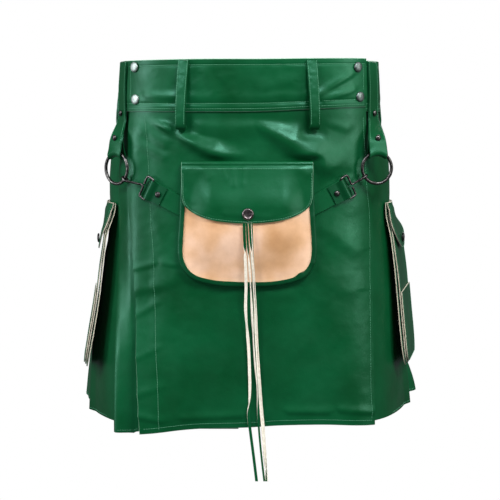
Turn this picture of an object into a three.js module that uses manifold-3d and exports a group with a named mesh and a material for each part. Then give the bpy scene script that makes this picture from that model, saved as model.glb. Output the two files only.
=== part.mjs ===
// A leather utility kilt as it is worn: hollow, with a wrapped front apron, pleats, a pouch and hip pockets.
// Millimetres, +Z up. The front faces -Y, and the origin is the centre of the waist at half the band's height.
import * as THREE from 'three';
import Module from 'manifold-3d';

const wasm = await Module();
wasm.setup();

// Driving sizes of the leather and the band
const LEATHER = 1.4;
const BAND_WALL = 2.4;
const STRAP_WALL = 1.8;
const LOOP_WALL = 2.2;
const SEAM = 0.3;
const LAYER_GAP = 0.6;
const BAND_HALF = 37.5;
const TUCK = 12;
const SKIRT_TOP = -BAND_HALF + TUCK;
const HEM = -497;

// Distances from the ring surface to the middle of each layer, from the inside out
const SKIRT_LAYER = LEATHER / 2;
const BAND_LAYER = LEATHER + LAYER_GAP + BAND_WALL / 2;
const BAND_FACE = BAND_LAYER + BAND_WALL / 2;
const APRON_TOP_LAYER = BAND_FACE + LAYER_GAP + LEATHER / 2;
const FRONT_BAND_LAYER = APRON_TOP_LAYER + LEATHER / 2 + LAYER_GAP + BAND_WALL / 2;
const FRONT_BAND_FACE = FRONT_BAND_LAYER + BAND_WALL / 2;
const APRON_LAYER = 3.2;

// The ring that the cloth follows, from the waist down to the hem. The front hangs straight and the
// back runs out; taper narrows the front of a section, and square sets how flat its front and back are.
const SECTIONS = [
  { z: 40, left: 186, right: 195, front: 124, back: 129, taper: 0, squareFront: 2.4, squareBack: 2.3 },
  { z: 0, left: 189, right: 197, front: 124, back: 130, taper: 0, squareFront: 2.4, squareBack: 2.3 },
  { z: -40, left: 191, right: 199, front: 124, back: 132, taper: 0, squareFront: 2.45, squareBack: 2.3 },
  { z: -80, left: 197, right: 206, front: 125, back: 142, taper: 0.01, squareFront: 2.5, squareBack: 2.3 },
  { z: -120, left: 202, right: 211, front: 126, back: 158, taper: 0.02, squareFront: 2.55, squareBack: 2.3 },
  { z: -160, left: 204, right: 214, front: 127, back: 174, taper: 0.04, squareFront: 2.65, squareBack: 2.35 },
  { z: -200, left: 205.5, right: 216, front: 127, back: 188, taper: 0.06, squareFront: 2.75, squareBack: 2.4 },
  { z: -250, left: 212, right: 224, front: 127, back: 203, taper: 0.09, squareFront: 2.95, squareBack: 2.45 },
  { z: -300, left: 218.5, right: 230, front: 127, back: 217, taper: 0.11, squareFront: 3.15, squareBack: 2.5 },
  { z: -400, left: 234.5, right: 239, front: 127, back: 244, taper: 0.15, squareFront: 3.6, squareBack: 2.55 },
  { z: -515, left: 243, right: 251, front: 128, back: 269, taper: 0.19, squareFront: 4, squareBack: 2.6 },
];

// The top and bottom edges of the front band, which rides up a little at its right end
const FRONT_BAND_EDGES = [
  { x: -170, top: 37, bottom: -37.5 },
  { x: -60, top: 38, bottom: -38 },
  { x: 20, top: 38, bottom: -37.5 },
  { x: 85, top: 39, bottom: -34.5 },
  { x: 170, top: 40.5, bottom: -30.5 },
];
const FRONT_BAND_END = 168.5;

// The apron's two upright edges, from the band to the hem
const APRON_SIDES = [
  { z: -20, left: -168, right: 169.5 },
  { z: -93, left: -169.5, right: 174.5 },
  { z: -140, left: -170, right: 177.5 },
  { z: -190, left: -167, right: 182 },
  { z: -250, left: -162.5, right: 183 },
  { z: -312, left: -159, right: 182.5 },
  { z: -380, left: -156.5, right: 181 },
  { z: -440, left: -152.5, right: 180 },
  { z: -512, left: -148.5, right: 180.5 },
];

const APRON_HEM = [
  { x: -170, z: -510 },
  { x: -150, z: -508.5 },
  { x: -100, z: -502 },
  { x: -60, z: -499.5 },
  { x: 0, z: -498 },
  { x: 50, z: -495 },
  { x: 115, z: -495 },
  { x: 185, z: -500 },
];

// The rows of the apron's wall: close together where the slanting folds are
const APRON_LEVELS = [
  -38.5, -50, -60, -70, -80, -91, -103, -116, -131, -150, -180, -225, -270, -320, -370, -420, -460, -486,
];
const APRON_COLUMNS = 26;

// The large slanting folds that the hanging pouch pulls into the apron
const APRON_FOLDS = [
  { fromX: -150, fromZ: -48, toX: -96, toZ: -69, width: 9, height: 5.5 },
  { fromX: -96, fromZ: -69, toX: -42, toZ: -101, width: 9, height: 4.5 },
  { fromX: 34, fromZ: -58, toX: 78, toZ: -76, width: 11, height: 6 },
  { fromX: 78, fromZ: -76, toX: 122, toZ: -112, width: 10, height: 5.5 },
  { fromX: -165, fromZ: -300, toX: -105, toZ: -285, width: 12, height: 2 },
  { fromX: 60, fromZ: -476, toX: 160, toZ: -478, width: 9, height: 2 },
];

// Pleats, each a panel that ends at a fold line and turns back beneath itself. The fold line is given
// by its angle round the ring from the centre front, at the waist and at the hem. Below the height
// where it opens, the fold lifts off the cloth beneath.
const PLEATS = [
  { name: 'pleat_left_1', side: -1, waistFold: 115, hemFold: 114, lift: 6, opensBelow: -230 },
  { name: 'pleat_left_2', side: -1, waistFold: 146, hemFold: 146, lift: 6, opensBelow: -230 },
  { name: 'pleat_left_3', side: -1, waistFold: 178, hemFold: 176.5, lift: 5, opensBelow: -230 },
  { name: 'pleat_right_1', side: 1, waistFold: 116, hemFold: 121, lift: 26, opensBelow: -360 },
  { name: 'pleat_right_2', side: 1, waistFold: 147, hemFold: 149, lift: 6, opensBelow: -230 },
  { name: 'pleat_right_3', side: 1, waistFold: 178, hemFold: 176.5, lift: 5, opensBelow: -230 },
];
const SIDE_PANEL_FOLD = { left: { waist: 85, hem: 81 }, right: { waist: 87, hem: 90 } };
const FRONT_PLEAT = [
  { z: -25, rise: -158, fold: -176 },
  { z: -80, rise: -157, fold: -181 },
  { z: -140, rise: -156, fold: -186 },
  { z: -300, rise: -155, fold: -186 },
  { z: -515, rise: -152, fold: -183 },
];
const FRONT_PLEAT_START_X = -150;
const RIGHT_PANEL_START_X = 140;
const PLEAT_RETURN = 24;
const PLEAT_SINK = 5;
const PANELS_OPEN_BELOW = -230;
const PLEAT_ROWS = [0, 0.05, 0.12, 0.22, 0.34, 0.46, 0.64, 0.82, 1];
const UNDER_APRON_EDGE_X = -13;

const PALETTE = {
  green: new THREE.MeshStandardMaterial({ name: 'green_leather', color: 0x1f6a40, roughness: 0.42, metalness: 0 }),
  tan: new THREE.MeshStandardMaterial({ name: 'tan_leather', color: 0xcfa57d, roughness: 0.6, metalness: 0 }),
  lace: new THREE.MeshStandardMaterial({ name: 'lace_leather', color: 0xd8ceb4, roughness: 0.75, metalness: 0 }),
  gunmetal: new THREE.MeshStandardMaterial({ name: 'gunmetal', color: 0x2c2e2f, roughness: 0.35, metalness: 0.9 }),
  snap: new THREE.MeshStandardMaterial({ name: 'snap_metal', color: 0x55595a, roughness: 0.3, metalness: 0.9 }),
};

const kilt = new THREE.Group();
kilt.name = 'kilt';

function add(name, geometry, materialKey) {
  const mesh = new THREE.Mesh(geometry, PALETTE[materialKey].clone());
  mesh.name = name;
  kilt.add(mesh);
  return mesh;
}

// Small helpers for blending and tables

function mix(a, b, t) {
  return a + (b - a) * t;
}

function smooth(from, to, value) {
  const t = Math.min(1, Math.max(0, (value - from) / (to - from)));
  return t * t * (3 - 2 * t);
}

function radians(degrees) {
  return (degrees * Math.PI) / 180;
}

// A smooth curve through one column of a table, read at a value of its key column
function column(rows, key, name, value) {
  const rising = rows[rows.length - 1][key] > rows[0][key];
  const ordered = rising ? rows : [...rows].reverse();
  const clamped = Math.min(ordered[ordered.length - 1][key], Math.max(ordered[0][key], value));
  let i = 0;
  while (i < ordered.length - 2 && clamped > ordered[i + 1][key]) i += 1;
  const before = ordered[Math.max(0, i - 1)];
  const start = ordered[i];
  const end = ordered[i + 1];
  const after = ordered[Math.min(ordered.length - 1, i + 2)];
  const span = end[key] - start[key];
  const t = (clamped - start[key]) / span;
  const slopeStart = ((end[name] - before[name]) / (end[key] - before[key])) * span;
  const slopeEnd = ((after[name] - start[name]) / (after[key] - start[key])) * span;
  const t2 = t * t;
  const t3 = t2 * t;
  return (2 * t3 - 3 * t2 + 1) * start[name] + (t3 - 2 * t2 + t) * slopeStart
    + (3 * t2 - 2 * t3) * end[name] + (t3 - t2) * slopeEnd;
}

// The ring surface: angles in degrees from the centre front, positive to +X

const sectionCache = new Map();

function sectionAt(z) {
  const known = sectionCache.get(z);
  if (known) return known;
  const section = {};
  for (const name of ['left', 'right', 'front', 'back', 'taper', 'squareFront', 'squareBack']) {
    section[name] = column(SECTIONS, 'z', name, z);
  }
  sectionCache.set(z, section);
  return section;
}

function ringBase(angle, z) {
  const s = sectionAt(z);
  const sin = Math.sin(radians(angle));
  const cos = Math.cos(radians(angle));
  const power = cos > 0 ? s.squareFront : s.squareBack;
  const reach = (Math.abs(sin) ** power + Math.abs(cos) ** power) ** (-1 / power);
  const forward = -cos * reach;
  const half = sin < 0 ? s.left : s.right;
  const x = half * sin * reach * (1 + s.taper * forward);
  const y = (s.back - s.front) / 2 + ((s.back + s.front) / 2) * forward;
  return new THREE.Vector3(x, y, z);
}

function ringTangent(angle, z) {
  const step = 0.4;
  return ringBase(angle + step, z).sub(ringBase(angle - step, z)).normalize();
}

function ringNormal(angle, z) {
  const t = ringTangent(angle, z);
  return new THREE.Vector3(t.y, -t.x, 0);
}

function ringPoint(angle, z, offset) {
  return ringBase(angle, z).addScaledVector(ringNormal(angle, z), offset);
}

// The angle on the front half at which the ring has a given x
function angleAtX(x, z) {
  let low = 0;
  let high = 90;
  for (let i = 0; i < 30; i += 1) {
    const middle = (low + high) / 2;
    if (Math.abs(ringBase(Math.sign(x) * middle, z).x) < Math.abs(x)) low = middle;
    else high = middle;
  }
  return Math.sign(x) * low;
}

function frontPoint(x, z, offset) {
  return ringPoint(angleAtX(x, z), z, offset);
}

// The angle a given number of millimetres further round the ring
function angleAlong(angle, z, distance) {
  const perDegree = ringBase(angle + 0.5, z).distanceTo(ringBase(angle - 0.5, z));
  return angle + distance / perDegree;
}

// Closed bodies from grids of points

// A wall of even thickness about a grid of middle points: rows run down and columns run towards +X at
// the front, so that rows crossed with columns points out of the garment
function wall(grid, thickness) {
  const rows = grid.length;
  const columns = grid[0].length;
  const positions = [];
  const faces = [];
  for (const side of [1, -1]) {
    for (let i = 0; i < rows; i += 1) {
      for (let j = 0; j < columns; j += 1) {
        const down = grid[Math.min(i + 1, rows - 1)][j].clone().sub(grid[Math.max(i - 1, 0)][j]);
        const across = grid[i][Math.min(j + 1, columns - 1)].clone().sub(grid[i][Math.max(j - 1, 0)]);
        const normal = down.cross(across).normalize();
        const point = grid[i][j].clone().addScaledVector(normal, (side * thickness) / 2);
        positions.push(point.x, point.y, point.z);
      }
    }
  }
  const outer = (i, j) => i * columns + j;
  const inner = (i, j) => rows * columns + outer(i, j);
  const quad = (a, b, c, d) => faces.push(a, b, c, a, c, d);
  for (let i = 0; i < rows - 1; i += 1) {
    for (let j = 0; j < columns - 1; j += 1) {
      quad(outer(i, j), outer(i + 1, j), outer(i + 1, j + 1), outer(i, j + 1));
      quad(inner(i, j), inner(i, j + 1), inner(i + 1, j + 1), inner(i + 1, j));
    }
  }
  const lastRow = rows - 1;
  const lastColumn = columns - 1;
  for (let j = 0; j < lastColumn; j += 1) {
    quad(outer(0, j), outer(0, j + 1), inner(0, j + 1), inner(0, j));
    quad(outer(lastRow, j + 1), outer(lastRow, j), inner(lastRow, j), inner(lastRow, j + 1));
  }
  for (let i = 0; i < lastRow; i += 1) {
    quad(outer(i + 1, 0), outer(i, 0), inner(i, 0), inner(i + 1, 0));
    quad(outer(i, lastColumn), outer(i + 1, lastColumn), inner(i + 1, lastColumn), inner(i, lastColumn));
  }
  return closedGeometry(positions, faces);
}

function closedGeometry(positions, faces) {
  const geometry = new THREE.BufferGeometry();
  geometry.setAttribute('position', new THREE.Float32BufferAttribute(positions, 3));
  geometry.setIndex(faces);
  geometry.computeVertexNormals();
  return geometry;
}

// A bar whose polygon section is carried through frames, with flat ends. Each frame gives its points.
function bar(loops) {
  const sides = loops[0].length;
  const positions = loops.flat().flatMap((p) => [p.x, p.y, p.z]);
  const faces = [];
  for (let i = 0; i < loops.length - 1; i += 1) {
    for (let j = 0; j < sides; j += 1) {
      const a = i * sides + j;
      const b = i * sides + ((j + 1) % sides);
      faces.push(a, b, b + sides, a, b + sides, a + sides);
    }
  }
  const flat = THREE.ShapeUtils.triangulateShape(flatten(loops[0]), []);
  const last = (loops.length - 1) * sides;
  for (const [a, b, c] of flat) {
    faces.push(a, c, b);
    faces.push(last + a, last + b, last + c);
  }
  return outward(closedGeometry(positions, faces));
}

// The points of a planar loop in two coordinates of its own plane
function flatten(loop) {
  const normal = new THREE.Vector3();
  loop.forEach((p, i) => normal.add(p.clone().cross(loop[(i + 1) % loop.length])));
  normal.normalize();
  const right = loop[1].clone().sub(loop[0]).normalize();
  const up = normal.clone().cross(right);
  return loop.map((p) => new THREE.Vector2(p.dot(right), p.dot(up)));
}

// Turns the faces round where a closed body came out inside out
function outward(geometry) {
  const p = geometry.attributes.position;
  const index = geometry.index.array;
  const [a, b, c] = [new THREE.Vector3(), new THREE.Vector3(), new THREE.Vector3()];
  let volume = 0;
  for (let i = 0; i < index.length; i += 3) {
    a.fromBufferAttribute(p, index[i]);
    b.fromBufferAttribute(p, index[i + 1]);
    c.fromBufferAttribute(p, index[i + 2]);
    volume += a.dot(b.cross(c));
  }
  if (volume < 0) {
    for (let i = 0; i < index.length; i += 3) [index[i], index[i + 1]] = [index[i + 1], index[i]];
  }
  geometry.computeVertexNormals();
  return geometry;
}

// A round cap turned about its own axis, set on a surface point with its axis along the normal
function cap(name, point, normal, profile, materialKey, segments) {
  const points = profile.map(([radius, height]) => new THREE.Vector2(radius, height));
  const mesh = add(name, new THREE.LatheGeometry(points, segments), materialKey);
  mesh.position.copy(point);
  mesh.quaternion.setFromUnitVectors(new THREE.Vector3(0, 1, 0), normal);
  return mesh;
}

// A round wire along a curve
function wire(name, curve, radius, steps, sides, materialKey) {
  const section = new THREE.Shape();
  for (let i = 0; i < sides; i += 1) {
    const turn = (2 * Math.PI * i) / sides;
    const place = [radius * Math.cos(turn), radius * Math.sin(turn)];
    if (i === 0) section.moveTo(...place);
    else section.lineTo(...place);
  }
  section.closePath();
  const options = { steps, extrudePath: curve, curveSegments: 1, bevelEnabled: false };
  return add(name, new THREE.ExtrudeGeometry(section, options), materialKey);
}

// The waistband

function bandWall(fromAngle, toAngle, columns, layer) {
  const grid = [BAND_HALF, 0, -BAND_HALF].map((z) => {
    const row = [];
    for (let j = 0; j <= columns; j += 1) row.push(ringPoint(mix(fromAngle, toAngle, j / columns), z, layer));
    return row;
  });
  return wall(grid, BAND_WALL);
}

function seamGap(angle, distance) {
  return angleAlong(angle, 0, distance);
}

function buildWaistband() {
  const underEnd = angleAtX(UNDER_APRON_EDGE_X, 0);
  const sideFront = angleAtX(-150, 0);
  const rightFront = angleAtX(150, 0);
  const sideBack = 106;
  add('waistband_under', bandWall(sideFront + 0.1, underEnd, 10, BAND_LAYER), 'green');
  add('waistband_left', bandWall(-sideBack, seamGap(sideFront, -SEAM), 10, BAND_LAYER), 'green');
  add('waistband_right', bandWall(rightFront, sideBack, 10, BAND_LAYER), 'green');
  const backFrom = seamGap(sideBack, SEAM);
  const backTo = seamGap(-sideBack, -SEAM) + 360;
  add('waistband_back', bandWall(backFrom, backTo, 24, BAND_LAYER), 'green');

  const columns = 26;
  const rows = [0, 0.5, 1];
  const grid = rows.map((v) => {
    const row = [];
    for (let j = 0; j <= columns; j += 1) {
      const x = mix(-FRONT_BAND_END, FRONT_BAND_END, j / columns);
      const top = column(FRONT_BAND_EDGES, 'x', 'top', x);
      const bottom = column(FRONT_BAND_EDGES, 'x', 'bottom', x);
      row.push(frontPoint(x || 0.01, mix(top, bottom, v), FRONT_BAND_LAYER));
    }
    return row;
  });
  add('waistband_front', wall(grid, BAND_WALL), 'green');
}

// The aprons

function foldHeight(x, z) {
  let height = 0;
  for (const fold of APRON_FOLDS) {
    const runX = fold.toX - fold.fromX;
    const runZ = fold.toZ - fold.fromZ;
    const along = ((x - fold.fromX) * runX + (z - fold.fromZ) * runZ) / (runX * runX + runZ * runZ);
    const t = Math.min(1, Math.max(0, along));
    const away = Math.hypot(x - fold.fromX - t * runX, z - fold.fromZ - t * runZ);
    height = Math.max(height, fold.height * Math.exp(-((away / fold.width) ** 2)));
  }
  return height * smooth(-38, -52, z);
}

// How far the middle of the apron's leather stands off the ring surface
function apronOffset(x, z) {
  const overPleat = 4.6 * smooth(-149, -160, x);
  const leftCorner = 15 * smooth(-70, -150, x) * smooth(-300, -505, z);
  const rightCorner = 9 * smooth(110, 180, x) * smooth(-260, -500, z);
  const low = APRON_LAYER + overPleat + leftCorner + rightCorner + foldHeight(x, z);
  return mix(APRON_TOP_LAYER, low, smooth(-38, -70, z));
}

function buildAprons() {
  const levels = [null, ...APRON_LEVELS, null];
  const grid = levels.map((level, i) => {
    const row = [];
    for (let j = 0; j <= APRON_COLUMNS; j += 1) {
      const u = j / APRON_COLUMNS;
      const guess = level ?? (i === 0 ? -20 : -505);
      const x = mix(column(APRON_SIDES, 'z', 'left', guess), column(APRON_SIDES, 'z', 'right', guess), u);
      const top = column(FRONT_BAND_EDGES, 'x', 'bottom', x) + TUCK;
      const hem = column(APRON_HEM, 'x', 'z', x);
      const z = level ?? (i === 0 ? top : hem);
      row.push(frontPoint(x || 0.01, z, apronOffset(x, z)));
    }
    return row;
  });
  add('front_apron', wall(grid, LEATHER), 'green');

  const underColumns = 10;
  const under = PLEAT_ROWS.map((v) => {
    const row = [];
    for (let j = 0; j <= underColumns; j += 1) {
      const x = mix(FRONT_PLEAT_START_X + SEAM, UNDER_APRON_EDGE_X, j / underColumns);
      row.push(frontPoint(x, mix(SKIRT_TOP, -500.5, v), SKIRT_LAYER));
    }
    return row;
  });
  add('under_apron', wall(under, LEATHER), 'green');
}

// Pleated panels: start and fold are angles that depend on z. A panel begins beneath the pleat before
// it, rises over its own turned-back edge, folds there and runs back to its seam.

function pleatSink(z) {
  return PLEAT_SINK * (1 - smooth(-40, -85, z));
}

function pleatLine(start, lastFold, fold, side, lifted, z) {
  const step = LEATHER + LAYER_GAP;
  const returnEnd = angleAlong(fold, z, -side * PLEAT_RETURN);
  const outerTop = SKIRT_LAYER + 2 * step;
  const outerFold = outerTop + lifted + 0.5;
  const returnFold = SKIRT_LAYER + step + 0.7 * lifted;
  const radius = (outerFold - returnFold) / 2;
  const at = (angle, offset) => ringPoint(angle, z, offset - pleatSink(z));
  const foldStart = angleAlong(fold, z, -side * radius);
  const line = [
    at(start, SKIRT_LAYER),
    at(lastFold, SKIRT_LAYER),
    at(mix(lastFold, returnEnd, 0.4), mix(SKIRT_LAYER, outerTop, 0.25)),
    at(mix(lastFold, returnEnd, 0.75), mix(SKIRT_LAYER, outerTop, 0.75)),
    at(angleAlong(returnEnd, z, -side * 2), outerTop),
    at(mix(returnEnd, foldStart, 0.5), mix(outerTop, outerFold, 0.5)),
    at(foldStart, outerFold),
    at(angleAlong(foldStart, z, side * radius * 0.75), returnFold + radius * 1.66),
    at(angleAlong(foldStart, z, side * radius), returnFold + radius),
    at(angleAlong(foldStart, z, side * radius * 0.75), returnFold + radius * 0.34),
    at(foldStart, returnFold),
    at(mix(foldStart, returnEnd, 0.5), mix(returnFold, SKIRT_LAYER + step, 0.5)),
    at(returnEnd, SKIRT_LAYER + step),
  ];
  return side > 0 ? line : line.reverse();
}

function addPleat(name, side, liftAt, startAt, lastFoldAt, foldAt, hemAt) {
  const grid = PLEAT_ROWS.map((v) => {
    const z = mix(SKIRT_TOP, HEM, v);
    const line = pleatLine(startAt(z), lastFoldAt(z), foldAt(z), side, liftAt(z), z);
    return line.map((point, j) => {
      const place = side > 0 ? j / (line.length - 1) : 1 - j / (line.length - 1);
      const dropped = point.clone();
      dropped.z += hemAt(place) * smooth(0.5, 1, v);
      return dropped;
    });
  });
  add(name, wall(grid, LEATHER), 'green');
}

function foldAngle(side, waist, hem) {
  return (z) => side * mix(waist, hem, smooth(-40, HEM, z));
}

function opening(lift, below) {
  return (z) => lift * smooth(below, HEM, z);
}

function buildPleats() {
  const level = () => 0;
  const lowered = (place) => -7 - 3 * smooth(0, 0.5, place);
  const panelLift = opening(6, PANELS_OPEN_BELOW);
  const frontLift = opening(15, PANELS_OPEN_BELOW);
  const frontFold = (z) => angleAtX(column(FRONT_PLEAT, 'z', 'fold', z), z);
  const frontRise = (z) => angleAtX(column(FRONT_PLEAT, 'z', 'rise', z), z);
  const leftFold = foldAngle(-1, SIDE_PANEL_FOLD.left.waist, SIDE_PANEL_FOLD.left.hem);
  const rightFold = foldAngle(1, SIDE_PANEL_FOLD.right.waist, SIDE_PANEL_FOLD.right.hem);
  const frontStart = (z) => angleAtX(FRONT_PLEAT_START_X, z);
  const rightStart = (z) => angleAtX(RIGHT_PANEL_START_X, z);
  const rightVisible = (z) => angleAtX(column(APRON_SIDES, 'z', 'right', z) + 2.5, z);
  const seamBefore = (fold, side) => (z) => angleAlong(fold(z), z, -side * PLEAT_RETURN);

  addPleat('panel_left_front', -1, frontLift, frontStart, frontRise, frontFold, lowered);
  addPleat('panel_left_side', -1, panelLift, seamBefore(frontFold, -1), frontFold, leftFold, level);
  addPleat('panel_right_side', 1, panelLift, rightStart, rightVisible, rightFold, level);

  const last = { '-1': leftFold, 1: rightFold };
  for (const pleat of PLEATS) {
    const fold = foldAngle(pleat.side, pleat.waistFold, pleat.hemFold);
    const before = last[pleat.side];
    const lift = opening(pleat.lift, pleat.opensBelow);
    addPleat(pleat.name, pleat.side, lift, seamBefore(before, pleat.side), before, fold, level);
    last[pleat.side] = fold;
  }
  buildCentrePleat(last[1], last[-1]);
}

// The panel at the bottom of the inverted pleat at the centre back
function buildCentrePleat(rightFold, leftFold) {
  const columns = 6;
  const grid = PLEAT_ROWS.map((v) => {
    const z = mix(SKIRT_TOP, HEM, v);
    const from = angleAlong(rightFold(z), z, -PLEAT_RETURN);
    const to = angleAlong(leftFold(z), z, PLEAT_RETURN) + 360;
    const row = [];
    const layer = SKIRT_LAYER - pleatSink(z);
    for (let j = 0; j <= columns; j += 1) row.push(ringPoint(mix(from, to, j / columns), z, layer));
    return row;
  });
  add('pleat_centre_back', wall(grid, LEATHER), 'green');
}

// Belt loops: a strap sewn to the band's top, standing off the band, and turned back under at its foot

const BELT_LOOPS = [
  { name: 'belt_loop_front_left', topX: -89, footX: -92.5, front: true },
  { name: 'belt_loop_front_right', topX: 90, footX: 93.5, front: true },
  { name: 'belt_loop_side_left', angle: -111, front: false },
  { name: 'belt_loop_side_right', angle: 111, front: false },
  { name: 'belt_loop_back_left', angle: -154, front: false },
  { name: 'belt_loop_back_right', angle: 154, front: false },
];
const BELT_LOOP_WIDTH = 17;

function beltLoopPath(bandFace, skirtFace) {
  const face = Math.max(bandFace, skirtFace);
  const foot = face + 7.4;
  const turned = skirtFace + 1.8;
  return [
    { z: 36, offset: bandFace + 1.5 },
    { z: 25, offset: face + 4.8 },
    { z: 9, offset: face + 9.8 },
    { z: -14, offset: face + 11.2 },
    { z: -36, offset: face + 11 },
    { z: -50, offset: face + 9.8 },
    { z: -59, offset: foot },
    { z: -62.5, offset: (foot + turned) / 2 },
    { z: -59.5, offset: turned },
    { z: -50, offset: turned - 0.2 },
    { z: -42, offset: turned - 0.3 },
  ];
}

function buildBeltLoops() {
  for (const loop of BELT_LOOPS) {
    const path = loop.front ? beltLoopPath(FRONT_BAND_FACE, 6.2) : beltLoopPath(BAND_FACE, 5.8);
    const grid = path.map(({ z, offset }) => {
      const middle = loop.front ? angleAtX(mix(loop.topX, loop.footX, (36 - z) / 98), z) : loop.angle;
      const half = mix(BELT_LOOP_WIDTH, BELT_LOOP_WIDTH - 1.5, (36 - z) / 98) / 2;
      const centre = ringPoint(middle, z, offset);
      const tangent = ringTangent(middle, 0);
      return [-half, half].map((w) => centre.clone().addScaledVector(tangent, w));
    });
    add(loop.name, wall(grid, LOOP_WALL), 'green');
  }
}

// Snap caps, rivets and studs

const SNAPS = [
  { name: 'snap_left_top', x: -157.4, z: 27 },
  { name: 'snap_left_bottom', x: -156.5, z: -20 },
  { name: 'snap_right_top', x: 155, z: 27 },
  { name: 'snap_right_bottom', x: 158.5, z: -16 },
];
const SNAP_PROFILE = [[0, 0], [6.6, 0], [7.4, 1.2], [7, 2.6], [5.4, 3.2], [4.2, 2.5], [0, 2.2]];
const RIVET_PROFILE = [[0, 0], [4.4, 0], [4.2, 1.2], [2.6, 2.4], [0, 2.9]];
const STUD_PROFILE = [[0, 0], [7.6, 0], [8.5, 1.4], [8, 3.2], [6.4, 3.9], [5.2, 3], [0, 2.6]];

function buildSnaps() {
  for (const snap of SNAPS) {
    const angle = angleAtX(snap.x, snap.z);
    const point = ringPoint(angle, snap.z, FRONT_BAND_FACE + 0.4);
    cap(snap.name, point, ringNormal(angle, snap.z), SNAP_PROFILE, 'snap', 12);
  }
}

// Hip straps with their rings and hooks. Turns are angles of a piece's face from the front.

const HIPS = [
  {
    side: 'left', sign: -1, strapX: 180, ring: { x: -192, y: -82, z: -121 }, ringTurn: 42, strapTurn: 47,
    hookAngle: 40, clasp: { x: -142, z: -148.5 },
  },
  {
    side: 'right', sign: 1, strapX: 182, ring: { x: 190, y: -97, z: -120 }, ringTurn: 14, strapTurn: 21,
    hookAngle: 33, clasp: { x: 143, z: -147 },
  },
];
const HIP_STRAP_WIDTH = 28;
const STRAP_TURN_RADIUS = 5.8;
const RING_RADIUS = 22.6;
const RING_WIRE = 1.9;
const HOOK_WIRE = 1.4;
const CLASP_LONG = 16.6;
const CLASP_SHORT = 6;
const CLASP_OFFSET = 9.4;

function turned(degrees, sign) {
  const turn = radians(degrees) * sign;
  return new THREE.Vector3(Math.sin(turn), -Math.cos(turn), 0);
}

function widthOf(normal) {
  return new THREE.Vector3(-normal.y, normal.x, 0);
}

// The middle and the outward direction of a hip strap at a height: on the band above, on the ring below
function strapFrame(hip, z) {
  const held = Math.max(z, -45);
  const angle = angleAtX(hip.sign * hip.strapX, Math.min(held, 0));
  const onBand = ringPoint(angle, held, BAND_FACE + 0.3);
  const bandNormal = ringNormal(angle, held);
  const t = smooth(-45, -83, z);
  const middle = new THREE.Vector3(mix(onBand.x, hip.ring.x, t), mix(onBand.y, hip.ring.y, t), z);
  const normal = bandNormal.lerp(turned(hip.strapTurn, hip.sign), t).normalize();
  return { middle, normal };
}

function hipStrapPath(turnZ) {
  const half = STRAP_WALL / 2 + 0.15;
  const r = STRAP_TURN_RADIUS;
  const path = [36, 10, -15, -38, -52, -66, -78].map((z) => ({ z, offset: half + 0.15 }));
  path.push({ z: turnZ + 8, offset: r * 0.62 });
  for (const degrees of [25, 0, -30, -60, -90, -120, -150, 180, 155]) {
    const a = radians(degrees);
    path.push({ z: turnZ + r * Math.sin(a), offset: r * Math.cos(a) });
  }
  path.push({ z: turnZ + 8, offset: -r * 0.62 });
  path.push({ z: -79, offset: -half });
  path.push({ z: -71, offset: -half });
  return path;
}

function buildHip(hip) {
  const turnZ = hip.ring.z + RING_RADIUS - RING_WIRE - 1.8 + STRAP_TURN_RADIUS - STRAP_WALL / 2;
  const grid = hipStrapPath(turnZ).map(({ z, offset }) => {
    const { middle, normal } = strapFrame(hip, z);
    const centre = middle.clone().addScaledVector(normal, offset);
    const across = widthOf(normal);
    return [-1, -0.5, 0, 0.5, 1].map((u) => {
      const w = (u * HIP_STRAP_WIDTH) / 2;
      const point = centre.clone().addScaledVector(across, w);
      point.z -= (RING_RADIUS - Math.sqrt(RING_RADIUS ** 2 - w ** 2)) * smooth(-80, -90, z);
      return point;
    });
  });
  add(`hip_strap_${hip.side}`, wall(grid, STRAP_WALL), 'green');

  for (const [place, z] of [['top', -40], ['bottom', -76]]) {
    const { middle, normal } = strapFrame(hip, z);
    const face = middle.clone().addScaledVector(normal, STRAP_WALL + (place === 'top' ? 1.6 : 2.6));
    cap(`hip_rivet_${hip.side}_${place}`, face, normal, RIVET_PROFILE, 'gunmetal', 9);
  }

  const ringNormalOut = turned(hip.ringTurn, hip.sign);
  const ring = add(`ring_${hip.side}`, new THREE.TorusGeometry(RING_RADIUS, RING_WIRE, 7, 26), 'gunmetal');
  ring.position.set(hip.ring.x, hip.ring.y, hip.ring.z);
  ring.quaternion.setFromUnitVectors(new THREE.Vector3(0, 0, 1), ringNormalOut);

  buildHook(hip, ringNormalOut);
  buildPouchStrap(hip);
}

// The clasp's place on the apron: outwards along the pouch strap, upwards across it, and off the cloth
const STRAP_SLOPE = 27.5;

function claspFrame(hip) {
  const angle = angleAtX(hip.clasp.x, hip.clasp.z);
  const centre = ringPoint(angle, hip.clasp.z, CLASP_OFFSET);
  const slope = radians(STRAP_SLOPE);
  const out = ringTangent(angle, hip.clasp.z).multiplyScalar(hip.sign * Math.cos(slope));
  out.z = Math.sin(slope);
  const normal = ringNormal(angle, hip.clasp.z);
  const across = normal.clone().cross(out).normalize();
  return { centre, out, across, normal };
}

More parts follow.
